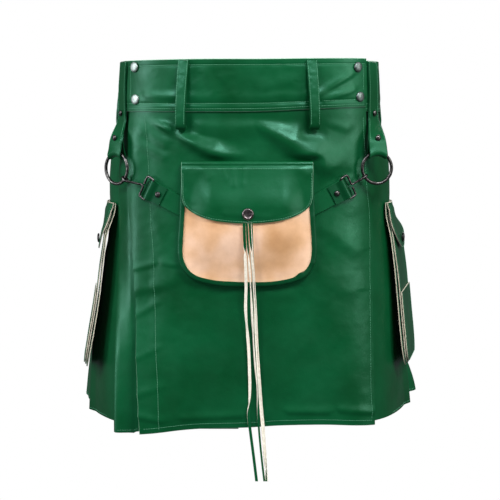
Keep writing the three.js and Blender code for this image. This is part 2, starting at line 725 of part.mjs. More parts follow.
// One bent wire: a curl over the ring, a rod, and a long loop that holds the pouch strap
function buildHook(hip, ringNormalOut) {
  const clasp = claspFrame(hip);
  const at = (out, across, off = 0) => clasp.centre.clone()
    .addScaledVector(clasp.out, out).addScaledVector(clasp.across, across).addScaledVector(clasp.normal, off);
  const inward = widthOf(ringNormalOut).multiplyScalar(-hip.sign);
  const fall = radians(hip.hookAngle);
  const spoke = inward.multiplyScalar(Math.cos(fall)).add(new THREE.Vector3(0, 0, -Math.sin(fall)));
  const touch = new THREE.Vector3(hip.ring.x, hip.ring.y, hip.ring.z).addScaledVector(spoke, RING_RADIUS);
  const reach = RING_WIRE + HOOK_WIRE + 0.6;
  const curl = (degrees) => touch.clone()
    .addScaledVector(spoke, -reach * Math.cos(radians(degrees)))
    .addScaledVector(ringNormalOut, reach * Math.sin(radians(degrees)));
  const s = CLASP_SHORT;
  const l = CLASP_LONG;
  const rodStart = curl(105).addScaledVector(spoke, 3);
  const bend = 2.6;
  const points = [
    curl(-150), curl(-115), curl(-80), curl(-40), curl(0), curl(40), curl(75), rodStart,
    rodStart.clone().lerp(at(s + 4, 0), 0.35), rodStart.clone().lerp(at(s + 4, 0), 0.7), at(s + 4, 0), at(s + 0.9, 0.8),
    at(s, 3.4), at(s, l - bend), at(s - bend * 0.3, l - bend * 0.3), at(s - bend, l),
    at(bend - s, l), at(bend * 0.3 - s, l - bend * 0.3), at(-s, l - bend),
    at(-s, bend - l), at(bend * 0.3 - s, bend * 0.3 - l), at(bend - s, -l),
    at(s - bend, -l), at(s - bend * 0.3, bend * 0.3 - l), at(s, bend - l), at(s, -3.4),
  ];
  const curve = new THREE.CatmullRomCurve3(points, false, 'centripetal');
  wire(`hook_${hip.side}`, curve, HOOK_WIRE, 58, 5, 'gunmetal');
}

// The strap from behind the pouch to the clasp, folded round the clasp's inner wire and riveted
const POUCH_STRAP_WIDTH = 28.5;
const POUCH_STRAP_LAYER = 5.6;
const POUCH_STRAP_REACH = 68;

function buildPouchStrap(hip) {
  const slope = radians(STRAP_SLOPE);
  const turnRadius = 3.6;
  const back = CLASP_SHORT;
  const layer = POUCH_STRAP_LAYER - CLASP_OFFSET;
  const stations = [
    [POUCH_STRAP_REACH, layer], [52, layer], [36, layer], [24, layer + 0.1], [14, layer + 0.3],
    [8, layer + 0.6], [3, -turnRadius], [0, -turnRadius],
    [-turnRadius * 0.87, -turnRadius * 0.5], [-turnRadius, 0.2], [-turnRadius * 0.87, turnRadius * 0.5],
    [0, turnRadius], [3, turnRadius * 0.8], [8, layer + 2.9], [12, layer + 2.5], [22, layer + 2.3],
  ];
  const half = POUCH_STRAP_WIDTH / 2;
  const place = (along, across, offset) => {
    const z = hip.clasp.z - along * Math.sin(slope) + across * Math.cos(slope);
    const sideways = -hip.sign * (along * Math.cos(slope) + across * Math.sin(slope));
    const angle = angleAlong(angleAtX(hip.clasp.x, hip.clasp.z), hip.clasp.z, sideways);
    return { point: ringPoint(angle, z, offset), normal: ringNormal(angle, z) };
  };
  const grid = stations.map(([inward, offset]) => (
    [-half, 0, half].map((w) => place(inward + back, w, CLASP_OFFSET + offset).point)
  ));
  if (hip.sign < 0) grid.forEach((row) => row.reverse());
  add(`pouch_strap_${hip.side}`, wall(grid, STRAP_WALL), 'green');

  const rivet = place(back + 14, 0, POUCH_STRAP_LAYER + 2.5 + STRAP_WALL / 2 + 0.7);
  cap(`pouch_rivet_${hip.side}`, rivet.point, rivet.normal, RIVET_PROFILE, 'gunmetal', 9);
}

// The pouch: a back panel, a bulging front panel, a binding round both, and a flap over the top

const POUCH_OUTLINE = [
  { z: -110, half: 92.4 }, { z: -150, half: 94 }, { z: -190, half: 95.5 }, { z: -225, half: 98 },
  { z: -245, half: 98 }, { z: -258, half: 95.5 }, { z: -268, half: 90.5 }, { z: -276, half: 83 },
  { z: -282, half: 72 }, { z: -286.5, half: 56 }, { z: -289.5, half: 36 }, { z: -290.5, half: 18 },
];
const FLAP_OUTLINE = [
  { z: -112, half: 92.4 }, { z: -161, half: 91 }, { z: -172, half: 88 }, { z: -180, half: 81 },
  { z: -187, half: 68 }, { z: -192, half: 53 }, { z: -195.5, half: 34 }, { z: -197.5, half: 12 },
];
const FLAP_TAIL_HALF = 83;
const POUCH_BACK_LAYER = 9.4;
const POUCH_FRONT_EDGE_LAYER = 11.4;
const POUCH_MOUTH = -124;
const POUCH_BULGE = 13;
const POUCH_INSET = 2.5;
const BINDING_WIDTH = 7.5;
const BINDING_WALL = 1.2;
const POUCH_COLUMNS = [-1, -0.93, -0.82, -0.64, -0.4, -0.14, 0.14, 0.4, 0.64, 0.82, 0.93, 1];

function pouchHalf(z) {
  return column(POUCH_OUTLINE, 'z', 'half', z);
}

function pouchFrontLayer(x, z) {
  const sideRise = smooth(7, 46, pouchHalf(z) - Math.abs(x));
  const footRise = smooth(7, 52, z + 291);
  const mouth = mix(0.45, 1, smooth(-122, -168, z));
  return POUCH_FRONT_EDGE_LAYER + POUCH_BULGE * sideRise * footRise * mouth;
}

function buildPouch() {
  const panel = (name, top, columns, layerAt, materialKey) => {
    const rows = [top, -136, ...POUCH_OUTLINE.slice(1).map((row) => row.z + POUCH_INSET)];
    const grid = rows.map((z) => {
      const half = pouchHalf(z - POUCH_INSET) - POUCH_INSET;
      return columns.map((u) => frontPoint(u * half || 0.01, z, layerAt(u * half, z)));
    });
    add(name, wall(grid, LEATHER), materialKey);
  };
  panel('pouch_back', -113, [-1, -0.75, -0.45, -0.15, 0.15, 0.45, 0.75, 1], () => POUCH_BACK_LAYER, 'green');
  panel('pouch_front', POUCH_MOUTH, POUCH_COLUMNS, pouchFrontLayer, 'tan');
  buildBinding();
  buildFlap();
  const angle = angleAtX(0.5, STUD_Z);
  const face = flapLayer(0.5, STUD_Z) + LEATHER / 2 + 0.5;
  cap('pouch_stud', ringPoint(angle, STUD_Z, face), ringNormal(angle, STUD_Z), STUD_PROFILE, 'gunmetal', 14);
  buildLaces();
}

// A strip folded over the edges of both panels, down one side, round the foot and up the other
function buildBinding() {
  const w = BINDING_WIDTH;
  const t = BINDING_WALL;
  const back = POUCH_BACK_LAYER - LEATHER / 2 - 0.35 - t;
  const front = POUCH_FRONT_EDGE_LAYER + LEATHER / 2 + 0.35 + t;
  const section = [
    [0, back], [0, front], [-w, front], [-w, front - t], [-t - 0.4, front - t],
    [-t - 0.4, back + t], [-w, back + t], [-w, back],
  ];
  const left = [{ z: -124, half: pouchHalf(-124) }, ...POUCH_OUTLINE.slice(1)];
  const stations = [
    ...left.map((row) => ({ x: -row.half, z: row.z })),
    ...left.slice().reverse().map((row) => ({ x: row.half, z: row.z })),
  ];
  const loops = stations.map((station, i) => {
    const before = stations[Math.max(0, i - 1)];
    const after = stations[Math.min(stations.length - 1, i + 1)];
    const length = Math.hypot(after.x - before.x, after.z - before.z);
    const outX = (after.z - before.z) / length;
    const outZ = -(after.x - before.x) / length;
    return section.map(([inset, offset]) => frontPoint(
      station.x + outX * inset || 0.01, station.z + outZ * inset, offset,
    ));
  });
  add('pouch_binding', bar(loops), 'green');
}

const STUD_Z = -184;

// The flap lies on the pouch front and its binding, and springs from a groove just below its top fold
function flapLayer(x, z) {
  const bindingFace = POUCH_FRONT_EDGE_LAYER + LEATHER / 2 + 0.35 + BINDING_WALL;
  const edge = bindingFace + LEATHER / 2 + 0.9;
  const over = pouchFrontLayer(x, Math.min(z, POUCH_MOUTH)) + LEATHER + 1.2;
  return Math.max(edge, over) + 0.6 * smooth(-180, -198, z);
}

function buildFlap() {
  const fold = [
    { z: -129, offset: POUCH_BACK_LAYER - LEATHER - 0.6, narrow: true },
    { z: -114, offset: POUCH_BACK_LAYER - LEATHER - 0.6, narrow: true },
    { z: -111, offset: POUCH_BACK_LAYER - 1 },
    { z: -109.6, offset: POUCH_BACK_LAYER + 1.2 },
    { z: -111.5, offset: POUCH_BACK_LAYER + 3.4 },
  ];
  const levels = [-117, -124, -134, -147, -161, -172, -180, -187, -192, -195.5, -197.5];
  const columns = [-1, -0.9, -0.75, -0.55, -0.3, 0, 0.3, 0.55, 0.75, 0.9, 1];
  const rows = [
    ...fold.map(({ z, offset, narrow }) => ({ z, narrow, at: () => offset })),
    ...levels.map((z) => ({ z, at: (x) => mix(POUCH_BACK_LAYER + 4.4, flapLayer(x, z), smooth(-113, -124, z)) })),
  ];
  const grid = rows.map(({ z, narrow, at }) => {
    const half = narrow ? FLAP_TAIL_HALF : column(FLAP_OUTLINE, 'z', 'half', Math.min(z, -112));
    return columns.map((u) => frontPoint(u * half || 0.01, z, at(u * half)));
  });
  add('pouch_flap', wall(grid, LEATHER), 'green');
}

// The laces hang from one head behind the stud's foot. Each strand has its own x and offset by height.
const LACE_ROWS = [
  { z: -196, left: -4.6, middle: -0.4, right: 3.6, far: 7.4, offset: 30.2 },
  { z: -243, left: -3.4, middle: 0.6, right: 5.2, far: 9.2, offset: 29.4 },
  { z: -272, left: -2, middle: 2.9, right: 7.6, far: 11.8, offset: 25.5 },
  { z: -291, left: -1.2, middle: 5, right: 9.6, far: 13.6, offset: 19.5 },
  { z: -325, left: -1.6, middle: 7, right: 11.4, far: 15.8, offset: 16 },
  { z: -373, left: 1.8, middle: 9.6, right: 14, far: 18.6, offset: 13 },
  { z: -405, left: 3.4, middle: 11, right: 15.4, far: 20.2, offset: 12 },
  { z: -444, left: 4.2, middle: 12.6, right: 17, far: 21.6, offset: 11 },
  { z: -475, left: 2, middle: 14.4, right: 18.6, far: 22.8, offset: 11 },
  { z: -494, left: 1.8, middle: 15.8, right: 20, far: 24.2, offset: 11 },
  { z: -535, left: 7.5, middle: 18.6, right: 22.8, far: 27, offset: 11 },
  { z: -576, left: 14.2, middle: 22.6, right: 28.9, far: 33.4, offset: 11 },
];
const LACE_WIDTH = 3;
const LACE_WALL = 1.3;

function manifoldOf(geometry) {
  const p = geometry.attributes.position;
  const mesh = new wasm.Mesh({
    numProp: 3,
    vertProperties: new Float32Array(p.array),
    triVerts: new Uint32Array(geometry.index.array),
  });
  return new wasm.Manifold(mesh);
}

function geometryOf(solid) {
  const mesh = solid.getMesh();
  const positions = [];
  for (let i = 0; i < mesh.vertProperties.length; i += mesh.numProp) {
    positions.push(mesh.vertProperties[i], mesh.vertProperties[i + 1], mesh.vertProperties[i + 2]);
  }
  return closedGeometry(positions, [...mesh.triVerts]);
}

function buildLaces() {
  const first = LACE_ROWS[0];
  const block = (x, z, offset, halfX, halfD) => [
    [-halfX, -halfD], [halfX, -halfD], [halfX, halfD], [-halfX, halfD],
  ].map(([dx, dd]) => frontPoint(x + dx || 0.01, z, offset + dd));
  let laces = manifoldOf(bar([
    block(1.4, -193, first.offset, 8.4, 0.9),
    block(1.4, -198.5, first.offset, 8.4, 0.9),
  ]));
  for (const name of ['left', 'middle', 'right', 'far']) {
    const loops = LACE_ROWS.map((row) => block(row[name], row.z, row.offset, LACE_WIDTH / 2, LACE_WALL / 2));
    laces = laces.add(manifoldOf(bar(loops)));
  }
  add('pouch_laces', geometryOf(laces), 'lace');
}

// Hip pockets: a flat base that hangs from its top edge, with a pocket panel, a lower patch and a flap.
// The seat is how far the base's sewn top stands off the ring surface, on the pleats beneath it.

const POCKETS = [
  { side: 'left', sign: -1, fromAngle: 64, toAngle: 116, frontY: -52, turn: 4.5, seat: 6.2 },
  { side: 'right', sign: 1, fromAngle: 66, toAngle: 112, frontY: -40, turn: 10.5, seat: 6 },
];
const POCKET_WIDTH = 172;
// How far out the front edge of each pocket hangs
const POCKET_FRONTS = [
  { z: -172, left: 206, right: 208 },
  { z: -230, left: 210, right: 216.5 },
  { z: -273, left: 215.5, right: 222 },
  { z: -319, left: 221, right: 226.5 },
  { z: -370, left: 229.5, right: 231.5 },
  { z: -428, left: 241, right: 238.5 },
];

// A point of a pocket: along runs 0 to 1 from its front edge to its back, off is its distance outwards
function pocketPoint(pocket, along, z, off) {
  const angle = pocket.sign * mix(pocket.fromAngle, pocket.toAngle, along);
  const onSkirt = ringPoint(angle, z, pocket.seat);
  const turn = radians(pocket.turn);
  const front = column(POCKET_FRONTS, 'z', pocket.side, z);
  const reach = along * POCKET_WIDTH;
  const flat = new THREE.Vector3(
    pocket.sign * (front + reach * Math.sin(turn)), pocket.frontY + reach * Math.cos(turn), z,
  );
  const flatNormal = new THREE.Vector3(pocket.sign * Math.cos(turn), -Math.sin(turn), 0);
  const t = smooth(-176, -230, z);
  const base = onSkirt.lerp(flat, t);
  const normal = ringNormal(angle, z).lerp(flatNormal, t).normalize();
  return base.addScaledVector(normal, off);
}

function pocketSheet(name, pocket, outline, layerAt, columns) {
  const grid = outline.map(({ z, from, to }) => {
    const row = [];
    for (let j = 0; j <= columns; j += 1) {
      const along = mix(from, to, j / columns);
      row.push(pocketPoint(pocket, along, z, layerAt(z)));
    }
    return pocket.sign > 0 ? row : row.reverse();
  });
  add(name, wall(grid, LEATHER), 'green');
}

function buildPocket(pocket) {
  const levels = [-174, -190, -206, -218, -230, -265, -310, -360, -398];
  const straight = (from, margin) => levels.filter((z) => z <= from).map((z) => ({ z, from: margin, to: 1 - margin }));
  const base = [...straight(-174, 0), { z: -424, from: 0.14, to: 0.86 }];
  const panel = [...straight(-190, 0.04), { z: -421, from: 0.17, to: 0.83 }];
  const patch = [...straight(-310, 0.05), { z: -418, from: 0.17, to: 0.83 }];
  const flap = [
    ...straight(-174, 0.01).filter(({ z }) => z >= -206),
    { z: -218, from: 0.04, to: 0.96 }, { z: -230, from: 0.14, to: 0.86 }, { z: -247, from: 0.4, to: 0.6 },
  ];
  const side = pocket.side;
  const baseLayer = 1;
  const step = LEATHER + LAYER_GAP + 0.6;
  const panelLayer = (z) => baseLayer + step + 1.2 * smooth(-230, -300, z) * (1 - smooth(-370, -420, z));
  const flapAt = (z) => mix(baseLayer + step, panelLayer(z) + step + 0.3, smooth(-176, -188, z))
    + 3 * smooth(-206, -247, z);
  pocketSheet(`pocket_base_${side}`, pocket, base, () => baseLayer, 8);
  pocketSheet(`pocket_panel_${side}`, pocket, panel, panelLayer, 8);
  pocketSheet(`pocket_patch_${side}`, pocket, patch, (z) => panelLayer(z) + step, 8);
  pocketSheet(`pocket_flap_${side}`, pocket, flap, flapAt, 8);
  const studZ = -232;
  const face = pocketPoint(pocket, 0.5, studZ, flapAt(studZ) + LEATHER / 2 + 1.35);
  const normal = pocketPoint(pocket, 0.5, studZ, 10).sub(pocketPoint(pocket, 0.5, studZ, 0)).normalize();
  cap(`pocket_stud_${side}`, face, normal, SNAP_PROFILE, 'gunmetal', 12);
}

buildWaistband();
buildAprons();
buildPleats();
buildBeltLoops();
buildSnaps();
HIPS.forEach(buildHip);
buildPouch();
POCKETS.forEach(buildPocket);

export default kilt;
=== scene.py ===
"""Looks of a leather utility kilt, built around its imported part.

Lengths are in millimetres, apart from the lights' and the room's."""
import math

import bpy
import numpy as np
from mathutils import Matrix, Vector

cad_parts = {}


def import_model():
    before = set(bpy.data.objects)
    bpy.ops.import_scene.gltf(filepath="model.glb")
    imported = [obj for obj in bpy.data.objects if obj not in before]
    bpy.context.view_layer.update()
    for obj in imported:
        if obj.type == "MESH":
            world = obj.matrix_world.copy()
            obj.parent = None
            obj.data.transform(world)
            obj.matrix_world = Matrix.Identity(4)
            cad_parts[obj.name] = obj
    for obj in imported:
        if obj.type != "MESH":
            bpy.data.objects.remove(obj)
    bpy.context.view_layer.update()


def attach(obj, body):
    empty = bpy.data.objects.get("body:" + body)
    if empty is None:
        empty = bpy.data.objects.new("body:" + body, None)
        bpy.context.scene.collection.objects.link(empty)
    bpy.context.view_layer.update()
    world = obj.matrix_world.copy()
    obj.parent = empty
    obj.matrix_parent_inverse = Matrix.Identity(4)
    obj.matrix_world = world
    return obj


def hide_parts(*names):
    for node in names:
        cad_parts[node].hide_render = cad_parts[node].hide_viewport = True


MM = 0.001
LEATHER = 1.4
BAND_WALL = 2.4
STRAP_WALL = 1.8
LOOP_WALL = 2.2
SEAM = 0.3
LAYER_GAP = 0.6
BAND_HALF = 37.5
TUCK = 12
SKIRT_TOP = TUCK - BAND_HALF
HEM = -497

# Distances from the ring surface to the middle of each layer, as in the part
SKIRT_LAYER = LEATHER / 2
BAND_LAYER = LEATHER + LAYER_GAP + BAND_WALL / 2
BAND_FACE = BAND_LAYER + BAND_WALL / 2
APRON_TOP_LAYER = BAND_FACE + LAYER_GAP + LEATHER / 2
FRONT_BAND_LAYER = APRON_TOP_LAYER + LEATHER / 2 + LAYER_GAP + BAND_WALL / 2
FRONT_BAND_FACE = FRONT_BAND_LAYER + BAND_WALL / 2
APRON_LAYER = 3.2

# How far apart the points of the fine cloth are
FINE = 2.4
COARSE = 3.4
EDGE_BEVEL = 0.8


def table(names, *rows):
    """Rows of numbers under named columns."""
    return {name: np.array([row[i] for row in rows], float) for i, name in enumerate(names.split())}


SECTIONS = table(
    "z left right front back taper square_front square_back",
    (40, 186, 195, 124, 129, 0, 2.4, 2.3),
    (0, 189, 197, 124, 130, 0, 2.4, 2.3),
    (-40, 191, 199, 124, 132, 0, 2.45, 2.3),
    (-80, 197, 206, 125, 142, 0.01, 2.5, 2.3),
    (-120, 202, 211, 126, 158, 0.02, 2.55, 2.3),
    (-160, 204, 214, 127, 174, 0.04, 2.65, 2.35),
    (-200, 205.5, 216, 127, 188, 0.06, 2.75, 2.4),
    (-250, 212, 224, 127, 203, 0.09, 2.95, 2.45),
    (-300, 218.5, 230, 127, 217, 0.11, 3.15, 2.5),
    (-400, 234.5, 239, 127, 244, 0.15, 3.6, 2.55),
    (-515, 243, 251, 128, 269, 0.19, 4, 2.6),
)
FRONT_BAND = table(
    "x top bottom", (-170, 37, -37.5), (-60, 38, -38), (20, 38, -37.5), (85, 39, -34.5), (170, 40.5, -30.5),
)
FRONT_BAND_END = 168.5
APRON_SIDES = table(
    "z left right",
    (-20, -168, 169.5), (-93, -169.5, 174.5), (-140, -170, 177.5), (-190, -167, 182), (-250, -162.5, 183),
    (-312, -159, 182.5), (-380, -156.5, 181), (-440, -152.5, 180), (-512, -148.5, 180.5),
)
APRON_HEM = table(
    "x z",
    (-170, -510), (-150, -508.5), (-100, -502), (-60, -499.5), (0, -498), (50, -495), (115, -495),
    (185, -500),
)
UNDER_APRON_EDGE_X = -13
UNDER_APRON_HEM = -500.5

# The two long crests that the hanging pouch pulls into the apron, from their upper ends down
LEFT_CREST = table(
    "x z above below height",
    (-144, -41, 6, 6, 2), (-118, -58, 8, 6, 7), (-96, -71, 10, 6, 8), (-74, -85, 12, 7, 9),
    (-50, -97, 15, 9, 10), (-22, -111, 18, 12, 6),
)
RIGHT_CREST = table(
    "x z above below height",
    (2, -46, 8, 8, 0), (18, -56, 12, 10, 5), (42, -71, 17, 12, 8), (65, -86, 22, 14, 11),
    (91, -103, 26, 15, 12), (114, -120, 27, 15, 9), (144, -140, 24, 15, 2),
)
APRON_FOLDS = table(
    "from_x from_z to_x to_z above below height",
    (-62, -50, 0, -50, 14, 22, 4.5),
    (112, -48, 142, -60, 9, 8, 2),
    (-150, -88, -120, -104, 8, 6, 1.3),
    (-152, -62, -118, -84, 10, 7, 1.5),
    (-165, -300, -105, -285, 14, 8, 2.2),
    (-160, -268, -136, -260, 6, 3.5, 1.3),
    (-160, -306, -134, -294, 5, 3, 1.3),
    (-158, -336, -132, -318, 7, 4, 1.2),
    (-154, -398, -128, -382, 7, 4, 1.1),
    (-154, -452, -126, -440, 8, 5, 1.2),
    (-122, -258, -94, -262, 6, 3.5, 1.1),
    (-118, -290, -80, -282, 7, 4, 1.3),
    (-151, -482, -122, -488, 7, 4, 1.8),
    (-93, -484, -10, -480, 7, 4, 1.6),
    (60, -474, 118, -476, 7, 4, 1.9),
    (136, -474, 176, -480, 7, 4, 1.9),
    (-20, -290, 60, -300, 18, 11, 1.6),
    (60, -262, 150, -300, 21, 13, 1.6),
    (90, -190, 160, -240, 18, 11, 1.8),
)
# Where the apron lies flat beneath the feet of the front belt loops and beneath the two pouch straps
LOOP_FEET_X = (-91.5, 92.5)
STRAPS_OVER_APRON = table(
    "from_x from_z to_x to_z above below height",
    (-146, -147, -80, -181, 27, 27, 1), (146, -146, 81, -180, 27, 27, 1),
)

PLEATS = (
    ("pleat_left_1", -1, 115, 114, 6, -230),
    ("pleat_left_2", -1, 146, 146, 6, -230),
    ("pleat_left_3", -1, 178, 176.5, 5, -230),
    ("pleat_right_1", 1, 116, 121, 26, -360),
    ("pleat_right_2", 1, 147, 149, 6, -230),
    ("pleat_right_3", 1, 178, 176.5, 5, -230),
)
SIDE_PANEL_FOLD = {-1: (85, 81), 1: (87, 90)}
FRONT_PLEAT = table(
    "z rise fold",
    (-25, -158, -176), (-80, -157, -181), (-140, -156, -186), (-300, -155, -186), (-515, -152, -183),
)
FRONT_PLEAT_START_X = -150
RIGHT_PANEL_START_X = 140
PLEAT_RETURN = 24
PLEAT_SINK = 5
PANELS_OPEN_BELOW = -230
GAP_FILL = 2.1
GAP_TOP = (-230, -258)
GAP_FOOT = (-350, -290)


# Helpers

def mix(a, b, t):
    return a + (b - a) * t


def smooth(start, end, value):
    t = np.clip((np.asarray(value, float) - start) / (end - start), 0, 1)
    return t * t * (3 - 2 * t)


def unit(vectors):
    return vectors / np.maximum(np.linalg.norm(vectors, axis=-1, keepdims=True), 1e-9)


def hermite(knots, values, at):
    """A smooth curve through values at rising knots. A value may be a whole row of points."""
    at = np.clip(np.asarray(at, float), knots[0], knots[-1])
    i = np.clip(np.searchsorted(knots, at) - 1, 0, len(knots) - 2)
    before, after = np.maximum(i - 1, 0), np.minimum(i + 2, len(knots) - 1)
    span = knots[i + 1] - knots[i]
    t = (at - knots[i]) / span
    start_share = span / (knots[i + 1] - knots[before])
    end_share = span / (knots[after] - knots[i])
    deep = t.shape + (1,) * (values.ndim - 1)
    t, start_share, end_share = t.reshape(deep), start_share.reshape(deep), end_share.reshape(deep)
    start_slope = (values[i + 1] - values[before]) * start_share
    end_slope = (values[after] - values[i]) * end_share
    t2, t3 = t * t, t * t * t
    return ((2 * t3 - 3 * t2 + 1) * values[i] + (t3 - 2 * t2 + t) * start_slope
            + (3 * t2 - 2 * t3) * values[i + 1] + (t3 - t2) * end_slope)


def curve(rows, key, name, at):
    """A smooth curve through one column of a table, read at values of its key column."""
    order = np.argsort(rows[key])
    return hermite(rows[key][order], rows[name][order], at)


def stations(knots, spacing, least=2):
    """Places along the knots no further apart than spacing, with at least so many steps in each span."""
    steps = [np.linspace(a, b, max(least, math.ceil((b - a) / spacing)), endpoint=False)
             for a, b in zip(knots[:-1], knots[1:])]
    return np.concatenate([*steps, knots[-1:]])


def lengths(points):
    """Distances along a line of points, from 0."""
    return np.concatenate([[0], np.cumsum(np.linalg.norm(np.diff(points, axis=0), axis=-1))])


def resample(points, spacing, knots=None):
    """A smooth curve through a line of points, with its own points closer together."""
    knots = lengths(points) if knots is None else knots
    return hermite(knots, points, stations(knots, spacing))


def soft_noise(u, v, cell, seed):
    """Smooth random heights from -1 to 1 over two coordinates, the same at each run."""
    lattice = np.random.default_rng(int(seed)).uniform(-1, 1, (64, 64))
    a, b = np.asarray(u) / cell + 400, np.asarray(v) / cell + 400
    i, j = np.floor(a).astype(int), np.floor(b).astype(int)
    s, t = a - i, b - j
    s, t = s * s * (3 - 2 * s), t * t * (3 - 2 * t)
    near = mix(lattice[i % 64, j % 64], lattice[(i + 1) % 64, j % 64], s)
    far = mix(lattice[i % 64, (j + 1) % 64], lattice[(i + 1) % 64, (j + 1) % 64], s)
    return mix(near, far, t)


def ridge(x, z, start, end):
    """A soft ridge between two ends, each given by x, z, its widths above and below, and its height."""
    run_x, run_z = end[0] - start[0], end[1] - start[1]
    t = np.clip(((x - start[0]) * run_x + (z - start[1]) * run_z) / (run_x ** 2 + run_z ** 2), 0, 1)
    at_x, at_z, above, below, height = (mix(a, b, t) for a, b in zip(start, end))
    return height * np.exp(-((x - at_x) ** 2 + (z - at_z) ** 2) / np.where(z < at_z, below, above) ** 2)


def ridges(x, z, folds):
    """The highest of many straight ridges, each a row with both its ends."""
    return np.max([ridge(x, z, (*row[:2], *row[4:]), row[2:]) for row in zip(*folds.values())], axis=0)


def crest(x, z, line):
    """One long ridge through the points of a table."""
    rows = list(zip(*line.values()))
    return np.max([ridge(x, z, start, end) for start, end in zip(rows, rows[1:])], axis=0)


# The ring surface: angles in degrees from the centre front, positive to +X

def sections(z):
    return {name: curve(SECTIONS, "z", name, z) for name in SECTIONS if name != "z"}


def ring_base(angle, z, s=None):
    s = s or sections(z)
    sin, cos = np.sin(np.radians(angle)), np.cos(np.radians(angle))
    power = np.where(cos > 0, s["square_front"], s["square_back"])
    reach = (np.abs(sin) ** power + np.abs(cos) ** power) ** (-1 / power)
    forward = -cos * reach
    half = np.where(sin < 0, s["left"], s["right"])
    x = half * sin * reach * (1 + s["taper"] * forward)
    y = (s["back"] - s["front"]) / 2 + (s["back"] + s["front"]) / 2 * forward
    return np.stack(np.broadcast_arrays(x, y, z), axis=-1)


def ring_tangent(angle, z, s=None):
    s = s or sections(z)
    return unit(ring_base(angle + 0.4, z, s) - ring_base(angle - 0.4, z, s))


def ring_normal(angle, z, s=None):
    t = ring_tangent(angle, z, s)
    return np.stack([t[..., 1], -t[..., 0], np.zeros(t.shape[:-1])], axis=-1)


def ring_point(angle, z, offset):
    s = sections(z)
    return ring_base(angle, z, s) + ring_normal(angle, z, s) * np.asarray(offset)[..., None]


def angle_at_x(x, z):
    """The angle on the front half at which the ring has a given x."""
    x, z = np.broadcast_arrays(np.asarray(x, float), np.asarray(z, float))
    s = sections(z)
    low, high = np.zeros(x.shape), np.full(x.shape, 90.0)
    sign = np.where(x < 0, -1, 1)
    for _ in range(26):
        middle = (low + high) / 2
        short = np.abs(ring_base(sign * middle, z, s)[..., 0]) < np.abs(x)
        low, high = np.where(short, middle, low), np.where(short, high, middle)
    return sign * low


def front_point(x, z, offset):
    return ring_point(angle_at_x(x, z), z, offset)


def front_line(x, z, offset):
    """A seam line on the front: its points and outward directions."""
    angle = angle_at_x(x, z)
    return ring_point(angle, z, offset), ring_normal(angle, z)


def angle_along(angle, z, distance):
    """The angle a given distance further round the ring."""
    run = ring_base(angle + 0.5, z) - ring_base(angle - 0.5, z)
    return angle + distance / np.linalg.norm(run, axis=-1)


# Materials

def shader(name, roughness, metallic=0.0, specular=0.5, sheen=0.0):
    """A new material with its node tree, its shader and the place on the object."""
    material = bpy.data.materials.new(name)
    material.use_nodes = True
    tree = material.node_tree
    principled = tree.nodes["Principled BSDF"]
    values = (("Roughness", roughness), ("Metallic", metallic), ("Specular IOR Level", specular),
              ("Sheen Weight", sheen))
    for socket, value in values:
        principled.inputs[socket].default_value = value
    return material, tree, principled, tree.nodes.new("ShaderNodeTexCoord").outputs["Object"]


def join(tree, output, principled, socket):
    tree.links.new(output, principled.inputs[socket])


def node(tree, kind, output, values, **settings):
    """The output of a new node whose inputs are set to numbers or joined to other outputs."""
    made = tree.nodes.new(kind)
    for name, setting in settings.items():
        setattr(made, name, setting)
    for socket, value in values.items():
        if isinstance(value, bpy.types.NodeSocket):
            tree.links.new(value, made.inputs[socket])
        else:
            made.inputs[socket].default_value = value
    return made.outputs[output]


def noise_at(tree, where, scale, detail=3.0, rough=0.5):
    values = {"Vector": where, "Scale": scale, "Detail": detail, "Roughness": rough}
    return node(tree, "ShaderNodeTexNoise", "Fac", values)


def cells_at(tree, where, scale):
    """How far it is to the border between two cells."""
    values = {"Vector": where, "Scale": scale}
    return node(tree, "ShaderNodeTexVoronoi", "Distance", values, feature="DISTANCE_TO_EDGE")


def ramp(tree, value, *stops):
    colour = node(tree, "ShaderNodeValToRGB", "Color", {"Fac": value})
    points = colour.node.color_ramp.elements
    while len(points) < len(stops):
        points.new(0.5)
    for point, (position, shade) in zip(points, stops):
        point.position = position
        point.color = (*shade, 1)
    return colour


# Numbers of the Mix node's sockets for colours
MIX_SHARE, MIX_FIRST, MIX_SECOND, MIX_RESULT = 0, 6, 7, 2


def multiply(tree, first, second):
    values = {MIX_SHARE: 1.0, MIX_FIRST: first, MIX_SECOND: second}
    return node(tree, "ShaderNodeMix", MIX_RESULT, values, data_type="RGBA", blend_type="MULTIPLY")


def number_range(tree, value, low, high, to_low, to_high):
    values = {"Value": value, "From Min": low, "From Max": high, "To Min": to_low, "To Max": to_high}
    return node(tree, "ShaderNodeMapRange", "Result", values)


def bumps(tree, principled, *layers):
    """Layers of height over one another, each with its strength and depth in metres."""
    below = {}
    for height, strength, depth in layers:
        values = {"Height": height, "Strength": strength, "Distance": depth, **below}
        below = {"Normal": node(tree, "ShaderNodeBump", "Normal", values)}
    join(tree, below["Normal"], principled, "Normal")


GREEN_SHEEN = (0.3, 0.84, 0.66, 1)
GREEN_DYE = ((0.3, (0.0006, 0.05, 0.0115)), (0.72, (0.0024, 0.092, 0.029)))
PORES_PER_METRE = 760


